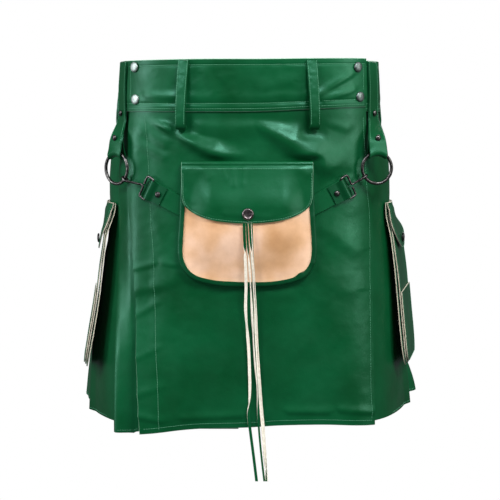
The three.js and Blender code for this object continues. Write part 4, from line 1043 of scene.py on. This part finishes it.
def build_ring_and_hook(hip):
    ring = np.array(hip["ring"], float)
    out_of_ring = facing(hip["ring_turn"], hip["sign"])
    side, up = width_of(out_of_ring), np.array((0, 0, 1.0))
    path = circle(ring, side, up, RING_RADIUS, RING_RADIUS, 72)
    tube(f"ring_{hip['side']}_metal", path, RING_LOOK, 14, f"ring_{hip['side']}", closed=True)

    centre, out, across, _ = clasp_frame(hip)
    fall = math.radians(hip["hook_angle"])
    spoke = -hip["sign"] * side * math.cos(fall) - up * math.sin(fall)
    reach = RING_WIRE + HOOK_WIRE + 0.6

    def at(along, over):
        return centre + out * along + across * over

    def curl(degrees):
        a = math.radians(degrees)
        return ring + spoke * (RING_RADIUS - reach * math.cos(a)) + out_of_ring * reach * math.sin(a)

    s, l, bend = CLASP_SHORT, CLASP_LONG, 2.6
    rod, eye = curl(105) + spoke * 3, at(s + 4, 0)
    points = [*map(curl, (-150, -115, -80, -40, 0, 40, 75)), *(mix(rod, eye, t) for t in (0, 0.35, 0.7, 1))]
    corner = ((s, l - bend), (s - bend * 0.3, l - bend * 0.3), (s - bend, l))
    points += [at(s + 0.9, 0.8), at(s, 3.4)]
    for right, top in ((1, 1), (-1, 1), (-1, -1), (1, -1)):
        points += [at(right * along, top * over) for along, over in corner[::right * top]]
    points.append(at(s, -3.4))
    tube(f"hook_{hip['side']}_wire", centripetal(points), HOOK_LOOK, 12, f"hook_{hip['side']}")


def pouch_strap_path():
    """Distances along the cloth from the hook's wire, and offsets from the clasp, round the wire and back."""
    layer, r = POUCH_STRAP_LAYER - CLASP_OFFSET, 3.6
    return np.array([
        (POUCH_STRAP_REACH, layer), (52, layer), (36, layer), (24, layer + 0.1), (14, layer + 0.3),
        (8, layer + 0.6), (3, -r), (0, -r), (-r * 0.87, -r * 0.5), (-r, 0.2), (-r * 0.87, r * 0.5), (0, r),
        (3, r * 0.8), (8, layer + 2.9), (12, layer + 2.5), (22, layer + 2.3),
    ])


def build_pouch_strap(hip):
    x, z = hip["clasp"]
    sign = hip["sign"]
    start = angle_at_x(x, z)
    run, rise = resample(pouch_strap_path(), STRAP_STEP).T

    def on_cloth(along, over, offset):
        cos, sin = math.cos(STRAP_SLOPE), math.sin(STRAP_SLOPE)
        angle = angle_along(start, z, -sign * (along * cos + over * sin))
        at_z = z - along * sin + over * cos
        return ring_point(angle, at_z, offset), ring_normal(angle, at_z)

    widths = np.linspace(-0.5, 0.5, 11) * POUCH_STRAP_WIDTH
    grid, _ = on_cloth((run + CLASP_SHORT)[:, None], widths[None, :], (CLASP_OFFSET + rise)[:, None])
    grid = grid if sign > 0 else grid[:, ::-1]
    # Its inner face takes the darker copy of the green: painted shade
    leather_sheet(f"pouch_strap_{hip['side']}", grid, STRAP_WALL,
                  (GREEN, GREEN_PAINTED_SHADE, GREEN))
    face = POUCH_STRAP_LAYER + 2.5 + STRAP_WALL / 2 + 0.7
    lathe(f"pouch_rivet_{hip['side']}", *on_cloth(CLASP_SHORT + 14.0, 0, face), RIVET_PROFILE, GUNMETAL, 20)
    last = int(np.argmax(run < 10))
    tail = len(run) - int(np.argmax(run[::-1] < 9))
    lines = []
    for column in (1, 9):
        lines += edge_stitches(grid, slice(tail, None), (column,), STRAP_WALL)
        lines += edge_stitches(grid, slice(last), (column,), -STRAP_WALL)
    return lines


def build_hips():
    lines = []
    for hip in HIPS:
        lines += build_hip_strap(hip)
        build_ring_and_hook(hip)
        lines += build_pouch_strap(hip)
    stitches("stitches_straps", lines)


# The pouch

POUCH_OUTLINE = table(
    "z half",
    (-110, 92.4), (-150, 94), (-190, 95.5), (-225, 98), (-245, 98), (-258, 95.5), (-268, 90.5), (-276, 83),
    (-282, 72), (-286.5, 56), (-289.5, 36), (-290.5, 18),
)
FLAP_OUTLINE = table(
    "z half",
    (-112, 92.4), (-161, 91), (-172, 88), (-180, 81), (-187, 68), (-192, 53), (-195.5, 34), (-197.5, 12),
)
POUCH_BACK_LAYER = 9.4
POUCH_FRONT_EDGE_LAYER = 11.4
POUCH_MOUTH = -124
POUCH_BULGE = 12
POUCH_INSET = 2.5
BINDING_WIDTH = 7.5
BINDING_WALL = 1.2
STUD_X = 0.5
STUD_Z = -184


def pouch_half(z):
    return curve(POUCH_OUTLINE, "z", "half", z)


def pouch_front_layer(x, z):
    side_rise = smooth(7, 46, pouch_half(z) - np.abs(x))
    foot_rise = smooth(5, 84, z + 291)
    mouth = mix(0.15, 1, smooth(-122, -178, z))
    return POUCH_FRONT_EDGE_LAYER + POUCH_BULGE * side_rise * foot_rise * mouth


def pouch_panel(part, top, layer_at, materials):
    rows = np.concatenate([[top, -136], POUCH_OUTLINE["z"][1:] + POUCH_INSET])
    outline = resample(np.stack([rows, pouch_half(rows - POUCH_INSET) - POUCH_INSET], axis=1), 3)
    x, z = outline[:, 1:] * np.linspace(-1, 1, 90), outline[:, :1]
    leather_sheet(part, front_point(x, z, layer_at(x, z)),
                  materials=materials)


def flap_layer(x, z):
    binding_face = POUCH_FRONT_EDGE_LAYER + LEATHER / 2 + 0.35 + BINDING_WALL
    edge = binding_face + LEATHER / 2 + 0.9
    over = pouch_front_layer(x, np.minimum(z, POUCH_MOUTH)) + LEATHER + 1.2
    return np.maximum(edge, over) + 0.6 * smooth(-180, -198, z)


FLAP_CREASES = table(
    "from_x from_z to_x to_z above below height",
    (-62, -121, -54, -132, 6, 5, 1),
    (-36, -121, -30, -134, 5, 4, 0.8),
    (-22, -121, -19, -142, 6, 5, 1),
    (-6, -121, -8, -140, 6, 5, 0.9),
    (74, -121, 84, -128, 6, 5, 0.8),
    (-88, -156, -78, -170, 7, 5, 1),
    (-86, -172, -60, -184, 6, 4, 1),
    (-30, -184, 30, -188, 6, 4, 0.8),
)


# The flap's tail behind the pouch's back and its fold over the top: height, distance from the back, half width
FLAP_TOP = ((-129, -2, 83), (-114, -2, 83), (-111, -1, 92.4), (-109.6, 1.2, 92.4), (-111.5, 3.4, 92.4))
FLAP_SHOULDER = ((-117, 92.2), (-124, 92), (-134, 91.8), (-147, 91.4))


def flap_face(x, z):
    return mix(POUCH_BACK_LAYER + 4.4, flap_layer(x, z), smooth(-113, -130, z))


def build_flap():
    columns = np.linspace(-1, 1, 96)
    level = 0 * columns
    rows = [(half * columns, level + z, level + POUCH_BACK_LAYER + off) for z, off, half in FLAP_TOP]
    for z, half in (*FLAP_SHOULDER, *list(zip(*FLAP_OUTLINE.values()))[1:]):
        rows.append((half * columns, level + z, flap_face(half * columns, z)))
    control = np.array(rows).transpose(0, 2, 1)
    x, z, offset = np.moveaxis(resample(control, 2.4, lengths(control[:, len(columns) // 2 + 20])), -1, 0)
    shown = smooth(POUCH_BACK_LAYER + 3.2, POUCH_BACK_LAYER + 5, offset) * (z < -112)
    offset = offset + ridges(x, z, FLAP_CREASES) * smooth(-114, -119, z) * shown
    offset = offset + 0.25 * soft_noise(x, z, 22, 71) * smooth(-114, -124, z)
    offset = offset - 1.3 * np.exp(-((z + 115.5) / 1.7) ** 2) * (offset > POUCH_BACK_LAYER + 2.5)
    leather_sheet("pouch_flap", front_point(x, z, offset))
    top = np.stack([np.arange(-86, 87, 2.0), np.full(87, -119.5)])
    rim = outline_line(FLAP_OUTLINE, -126, 2.6).T
    lines = [front_line(x, z, face_at(x, z) + ridges(x, z, FLAP_CREASES) + LEATHER / 2 + lift)
             for (x, z), face_at, lift in ((top, flap_face, 0.3), (rim, flap_layer, 0.35))]
    stitches("stitches_flap", lines)


def outline_line(outline, top, inset):
    """A line set in from an outline's two sides and foot, from the left top round to the right top."""
    keep = outline["z"] <= top
    side = np.stack([-outline["half"][keep], outline["z"][keep]], axis=1)
    side = np.concatenate([[(-np.interp(-top, -outline["z"], outline["half"]), top)], side])
    line = resample(np.concatenate([side, side[::-1] * (-1, 1)]), 2.5)
    return line + inward(line) * inset


def inward(line):
    run = unit(np.gradient(line, axis=0))
    return np.stack([-run[:, 1], run[:, 0]], axis=1)


def build_binding():
    """A strip folded over both panels' edges, a little uneven, with a short split at its lower right."""
    line = outline_line(POUCH_OUTLINE, POUCH_MOUTH, 0)
    gap = (LEATHER + BINDING_WALL) / 2 + 0.35
    back, front = POUCH_BACK_LAYER - gap, POUCH_FRONT_EDGE_LAYER + gap
    middle, depth = (front + back) / 2, (front - back) / 2
    rim = BINDING_WALL / 2 + depth * 0.6
    turn = np.radians((-60, -30, 0, 30, 60))
    section = np.array([
        (BINDING_WIDTH, back), (BINDING_WIDTH / 2, back), (rim, back),
        *zip(rim - depth * 0.6 * np.cos(turn), middle + depth * np.sin(turn)),
        (rim, front), (BINDING_WIDTH * 0.5, front + 0.15), (BINDING_WIDTH * 0.8, front + 0.1),
        (BINDING_WIDTH, front),
    ])
    along = lengths(line)
    ripple = 0.5 * soft_noise(along, 0 * along, 16, 81) + 0.3 * soft_noise(along, 0 * along, 7, 82)
    lip = 1.6 * np.exp(-((line[:, 0] - 78) / 6) ** 2) * (line[:, 1] < -262)
    width = 1 + 0.06 * soft_noise(along, 0 * along, 24, 83) + 0.22 * lip
    inset = section[:, 0] * np.where(section[:, 0] > 3, width[:, None], 1)
    x, z = np.moveaxis(line[:, None] + inward(line)[:, None] * inset[..., None], -1, 0)
    raised = (section[:, 1] > middle) * (ripple + lip)[:, None]
    grid = front_point(x, z, section[:, 1] + np.maximum(raised, 0))
    # The binding's inner face takes the darker copy of the green: painted shade
    leather_sheet("pouch_binding", grid[:, ::-1], BINDING_WALL,
                  (GREEN, GREEN_PAINTED_SHADE, EDGE), bevel=0.5)


LACE_ROWS = table(
    "z left middle right far offset",
    (-196, -5, -1.2, 3, 6, 30.2),
    (-243, -3.4, 1.2, 5.4, 8, 28),
    (-272, -2.3, 3.4, 7.6, 10, 23),
    (-291, -2.1, 4.6, 8.4, 10.8, 18.5),
    (-325, -2.6, 6.4, 10.4, 12.8, 14),
    (-373, 1.2, 8.8, 12.6, 15, 11),
    (-405, 2.8, 11, 14.6, 17, 10),
    (-444, 3.4, 14.6, 17.4, 19.6, 9.5),
    (-475, 1.6, 15.6, 19.6, 22, 9.5),
    (-494, 3.2, 16.4, 21.4, 23.8, 9.5),
    (-535, 8.4, 20, 24.4, 26.6, 10),
    (-576, 13.4, 24.6, 27.6, 29.4, 11),
)
# Turns of each strand about its own length, in degrees: 0 shows the cream flesh side, 180 the green grain
LACE_TWISTS = {
    "left": table("z turn", (-196, 182), (-228, 170), (-248, 20), (-300, -12), (-346, 60), (-372, 5),
                  (-420, 15), (-455, 62), (-480, 165), (-576, 185)),
    "middle": table("z turn", (-196, 190), (-230, 165), (-256, 40), (-290, 80), (-330, 20), (-362, 70),
                    (-410, 60), (-452, 120), (-490, 180), (-576, 190)),
    "right": table("z turn", (-196, 175), (-226, 160), (-246, 50), (-300, 70), (-350, 15), (-390, -55),
                   (-430, 10), (-500, -20), (-548, 60), (-576, 160)),
    "far": table("z turn", (-196, 160), (-236, 110), (-300, 80), (-380, 75), (-460, 60), (-520, 30),
                 (-576, 75)),
}
LACE_WIDTHS = {"left": 4.2, "middle": 3, "right": 3.2, "far": 2}
LACE_THICKNESS = 1.1


LACE_SECTION = ((-1, 1), (0, 1.15), (1, 1), (1, -1), (0, -1.15), (-1, -1))
LACE_SIDE_SLOTS = (0, 0, 2, 1, 1, 2)


def build_laces():
    z = np.arange(-196, -576.5, -2.0)
    across_all = np.array((1.0, 0, 0))
    points, faces, slots = [], [], []
    for name, twist in LACE_TWISTS.items():
        x = curve(LACE_ROWS, "z", name, z)
        turn = np.radians(curve(twist, "z", "turn", z))[:, None]
        middle, normal = front_line(x, z, curve(LACE_ROWS, "z", "offset", z))
        across = np.cos(turn) * across_all + np.sin(turn) * normal
        out = np.cos(turn) * normal - np.sin(turn) * across_all
        half, thick = LACE_WIDTHS[name] / 2, LACE_THICKNESS / 2
        rings = [middle + across * a * half + out * b * thick for a, b in LACE_SECTION]
        start = len(points) * len(z) * len(rings)
        points.append(np.stack(rings, axis=1).reshape(-1, 3))
        for face in ring_faces(len(z), len(rings)):
            faces.append(tuple(start + k for k in (face[0], *face[:0:-1])))
        slots += [*LACE_SIDE_SLOTS * (len(z) - 1), 2, 2]
    obj = solid("pouch_laces_strands", np.concatenate(points), faces, (CREAM, GREEN, CREAM), slots, 50)
    ride(obj, ("pouch_laces",))


def tan_layer(x, z):
    inside = smooth(4, 20, pouch_half(z) - np.abs(x)) * smooth(4, 20, z + 290)
    return pouch_front_layer(x, z) + 0.5 * soft_noise(x, z, 30, 61) * inside


def build_pouch():
    pouch_panel("pouch_back", -113, lambda x, z: POUCH_BACK_LAYER + 0 * x, SKIRT_SIDES)
    pouch_panel("pouch_front", POUCH_MOUTH, tan_layer, (TAN, FLESH, EDGE))
    build_binding()
    build_flap()
    face = float(flap_layer(STUD_X, STUD_Z)) + LEATHER / 2 + 1
    lathe("pouch_stud", *front_line(STUD_X, STUD_Z, face), STUD_PROFILE, STUD_METAL, 36)
    build_laces()


# Hip pockets

POCKETS = (
    dict(side="left", sign=-1, from_angle=64, to_angle=116, front_y=-52, turn=4.5, seat=6.2),
    dict(side="right", sign=1, from_angle=66, to_angle=112, front_y=-40, turn=10.5, seat=6),
)
POCKET_WIDTH = 172
POCKET_LEAVES_SKIRT = (-176, -230)
POCKET_FRONTS = table(
    "z left right",
    (-172, 206, 208), (-230, 210, 216.5), (-273, 215.5, 222), (-319, 221, 226.5), (-370, 229.5, 231.5),
    (-428, 241, 238.5),
)
# How far each layer's edges are set in from the pocket's sides, as a share of its width
POCKET_BASE = table(
    "z inset", (-174, 0), (-230, 0), (-310, 0), (-396, 0), (-412, 0.03), (-421, 0.09), (-424, 0.16),
)
POCKET_PANEL = table(
    "z inset", (-190, 0.04), (-300, 0.04), (-396, 0.04), (-410, 0.07), (-418, 0.13), (-421, 0.19),
)
POCKET_PATCH = table("z inset", (-310, 0.05), (-394, 0.05), (-408, 0.08), (-415, 0.13), (-418, 0.19))
POCKET_FLAP = table(
    "z inset", (-174, 0.01), (-206, 0.01), (-218, 0.04), (-230, 0.14), (-240, 0.28), (-247, 0.42),
)


def pocket_point(pocket, along, z, off):
    """A point on a pocket and its outward direction: curved like the skirt at the top, and flat below."""
    sign, turn = pocket["sign"], math.radians(pocket["turn"])
    angle = sign * mix(pocket["from_angle"], pocket["to_angle"], along)
    reach = along * POCKET_WIDTH
    x = sign * (curve(POCKET_FRONTS, "z", pocket["side"], z) + reach * math.sin(turn))
    flat = np.stack([x, pocket["front_y"] + reach * math.cos(turn), z], axis=-1)
    t = smooth(*POCKET_LEAVES_SKIRT, z)[..., None]
    normal = unit(mix(ring_normal(angle, z), np.array((sign * math.cos(turn), -math.sin(turn), 0)), t))
    return mix(ring_point(angle, z, pocket["seat"]), flat, t) + normal * np.asarray(off)[..., None], normal


def pocket_sheet(part, pocket, outline, layer_at):
    """Adds one layer of a pocket and gives the stitching along its sides and foot."""
    control = np.array(list(zip(*outline.values())))
    z, inset = resample(control, 3, lengths(control * (1, POCKET_WIDTH))).T[..., None]
    along = mix(inset, 1 - inset, np.linspace(0, 1, 54))
    z = np.broadcast_to(z, along.shape)
    grid, normal = pocket_point(pocket, along, z, layer_at(z))
    if pocket["sign"] < 0:
        grid, normal = grid[:, ::-1], normal[:, ::-1]
    leather_sheet(part, grid, materials=(GREEN, FLESH, RAW_EDGE), bevel=0.5)
    face = grid + normal * (LEATHER / 2 + 0.2)
    return [(face[line], normal[line]) for line in POCKET_STITCH_LINES]


POCKET_BASE_LAYER = 1
POCKET_STEP = LEATHER + LAYER_GAP + 0.6
POCKET_STUD_Z = -232
# Rows and columns of the grid that the stitching follows: the two sides and the foot
POCKET_STITCH_LINES = ((slice(1, -1), 2), (slice(1, -1), -3), (-2, slice(2, -2)))


def pocket_panel_layer(z):
    return POCKET_BASE_LAYER + POCKET_STEP + 1.2 * smooth(-230, -300, z) * (1 - smooth(-370, -420, z))


def pocket_flap_layer(z):
    over_panel = pocket_panel_layer(z) + POCKET_STEP + 0.3
    return mix(POCKET_BASE_LAYER + POCKET_STEP, over_panel, smooth(-176, -188, z)) + 3 * smooth(-206, -247, z)


# Each layer's outline, how far it stands off the skirt, and the piece that holds it
POCKET_LAYERS = (
    ("base", POCKET_BASE, lambda z: POCKET_BASE_LAYER + 0 * z, "waistband"),
    ("panel", POCKET_PANEL, pocket_panel_layer, "pocket_base"),
    ("patch", POCKET_PATCH, lambda z: pocket_panel_layer(z) + POCKET_STEP, "pocket_panel"),
    ("flap", POCKET_FLAP, pocket_flap_layer, "pocket_base"),
)


def build_pockets():
    for pocket in POCKETS:
        side = pocket["side"]
        lines = []
        for layer, outline, layer_at, over in POCKET_LAYERS:
            over = f"{over}_{side}_leather"
            lines += pocket_sheet(f"pocket_{layer}_{side}", pocket, outline, layer_at)
        stitches(f"stitches_pocket_{side}", lines)
        z = np.float64(POCKET_STUD_Z)
        stud = pocket_point(pocket, 0.5, z, pocket_flap_layer(z) + LEATHER / 2 + 1.35)
        lathe(f"pocket_stud_{side}", *stud, SNAP_PROFILE, GUNMETAL)


# The pale room, the lights and the camera

FRONT_PLANE = -128
PIXEL = 1.45
FRAME_PIXELS = 500
SENSOR = 36
CAMERA_DISTANCE = 2300
CAMERA_AZIMUTH = -0.6
CAMERA_Z = -42
TARGET = (3.8, FRONT_PLANE, -237.7)


def add(name, data):
    obj = bpy.data.objects.new(name, data)
    bpy.context.scene.collection.objects.link(obj)
    return obj


def aim(obj, spot, target):
    obj.location = spot
    obj.rotation_mode = "QUATERNION"
    obj.rotation_quaternion = (Vector(target) - Vector(spot)).to_track_quat("-Z", "Y")


def build_camera():
    camera = add("camera", bpy.data.cameras.new("camera"))
    bpy.context.scene.camera = camera
    turn = math.radians(CAMERA_AZIMUTH)
    target = Vector(TARGET)
    spot = target + CAMERA_DISTANCE * Vector((math.sin(turn), -math.cos(turn), 0))
    spot.z = CAMERA_Z
    aim(camera, spot * MM, target * MM)
    camera.data.sensor_width = SENSOR
    camera.data.lens = SENSOR * (target - spot).length / (PIXEL * FRAME_PIXELS)


ROOM_RADIUS = 14
FLOOR_RADIUS = 6
FLOOR_Z = -1.4
SKY_COLOUR = (0.9, 0.96, 1, 1)
SKY_STRENGTH = 0.11
WHITE = (1, 1, 1)
# Each light's name, place, the height that it aims at, size, power, colour, and whether it is mirrored
LIGHTS = (
    ("key", (1.05, -1.75, 1.65), -0.2, (0.9, 0.7), 62, (1, 0.99, 0.97), True),
    ("left_key", (-1.4, -1.6, 1.3), -0.22, (0.8, 0.8), 36, WHITE, True),
    ("low_fill", (0.3, -2.6, -0.7), -0.25, (1.4, 1), 9, WHITE, False),
    ("left_strip", (-2.1, -0.6, 0.2), -0.25, (0.7, 1.6), 26, WHITE, True),
    ("right_strip", (2.0, -0.9, 0.5), -0.25, (0.7, 1.6), 22, (1, 1, 0.9), True),
    ("back", (0.3, 2.2, 1.0), -0.2, (1.6, 1.2), 30, WHITE, True),
)


def area_light(name, spot, aim_z, size, power, colour, glossy):
    light = bpy.data.lights.new(name, "AREA")
    light.shape = "RECTANGLE"
    light.size, light.size_y = size
    light.energy = power
    light.color = colour
    obj = add(name, light)
    obj.visible_glossy = glossy
    aim(obj, spot, (0, 0, aim_z))


def glowing(name):
    material = bpy.data.materials.new(name)
    material.use_nodes = True
    tree = material.node_tree
    tree.nodes.clear()
    glow = tree.nodes.new("ShaderNodeEmission")
    glow.inputs["Color"].default_value = (1, 1, 1, 1)
    output = tree.nodes.new("ShaderNodeOutputMaterial")
    tree.links.new(glow.outputs["Emission"], output.inputs["Surface"])
    return material


def add_surround(name):
    """The newest object as a glowing piece of the room, which the camera sees and which lights nothing."""
    obj = bpy.context.object
    obj.name = name
    obj.data.materials.append(glowing(name))
    for kind in ("diffuse", "glossy", "transmission", "volume_scatter", "shadow"):
        setattr(obj, f"visible_{kind}", False)


def build_room():
    bpy.ops.mesh.primitive_ico_sphere_add(subdivisions=4, radius=ROOM_RADIUS)
    add_surround("pale_room")
    floor_at = (0, 0, FLOOR_Z)
    bpy.ops.mesh.primitive_circle_add(vertices=96, radius=FLOOR_RADIUS, fill_type="NGON", location=floor_at)
    add_surround("pale_floor")
    world = bpy.data.worlds.new("studio")
    bpy.context.scene.world = world
    world.use_nodes = True
    background = world.node_tree.nodes["Background"]
    background.inputs["Color"].default_value = SKY_COLOUR
    background.inputs["Strength"].default_value = SKY_STRENGTH
    for light in LIGHTS:
        area_light(*light)
    bpy.context.scene.view_settings.view_transform = "Standard"


def main():
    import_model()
    build_waistband()
    build_aprons()
    build_pleats()
    build_belt_loops()
    build_snaps()
    build_hips()
    build_pouch()
    build_pockets()
    build_camera()
    build_room()


main()
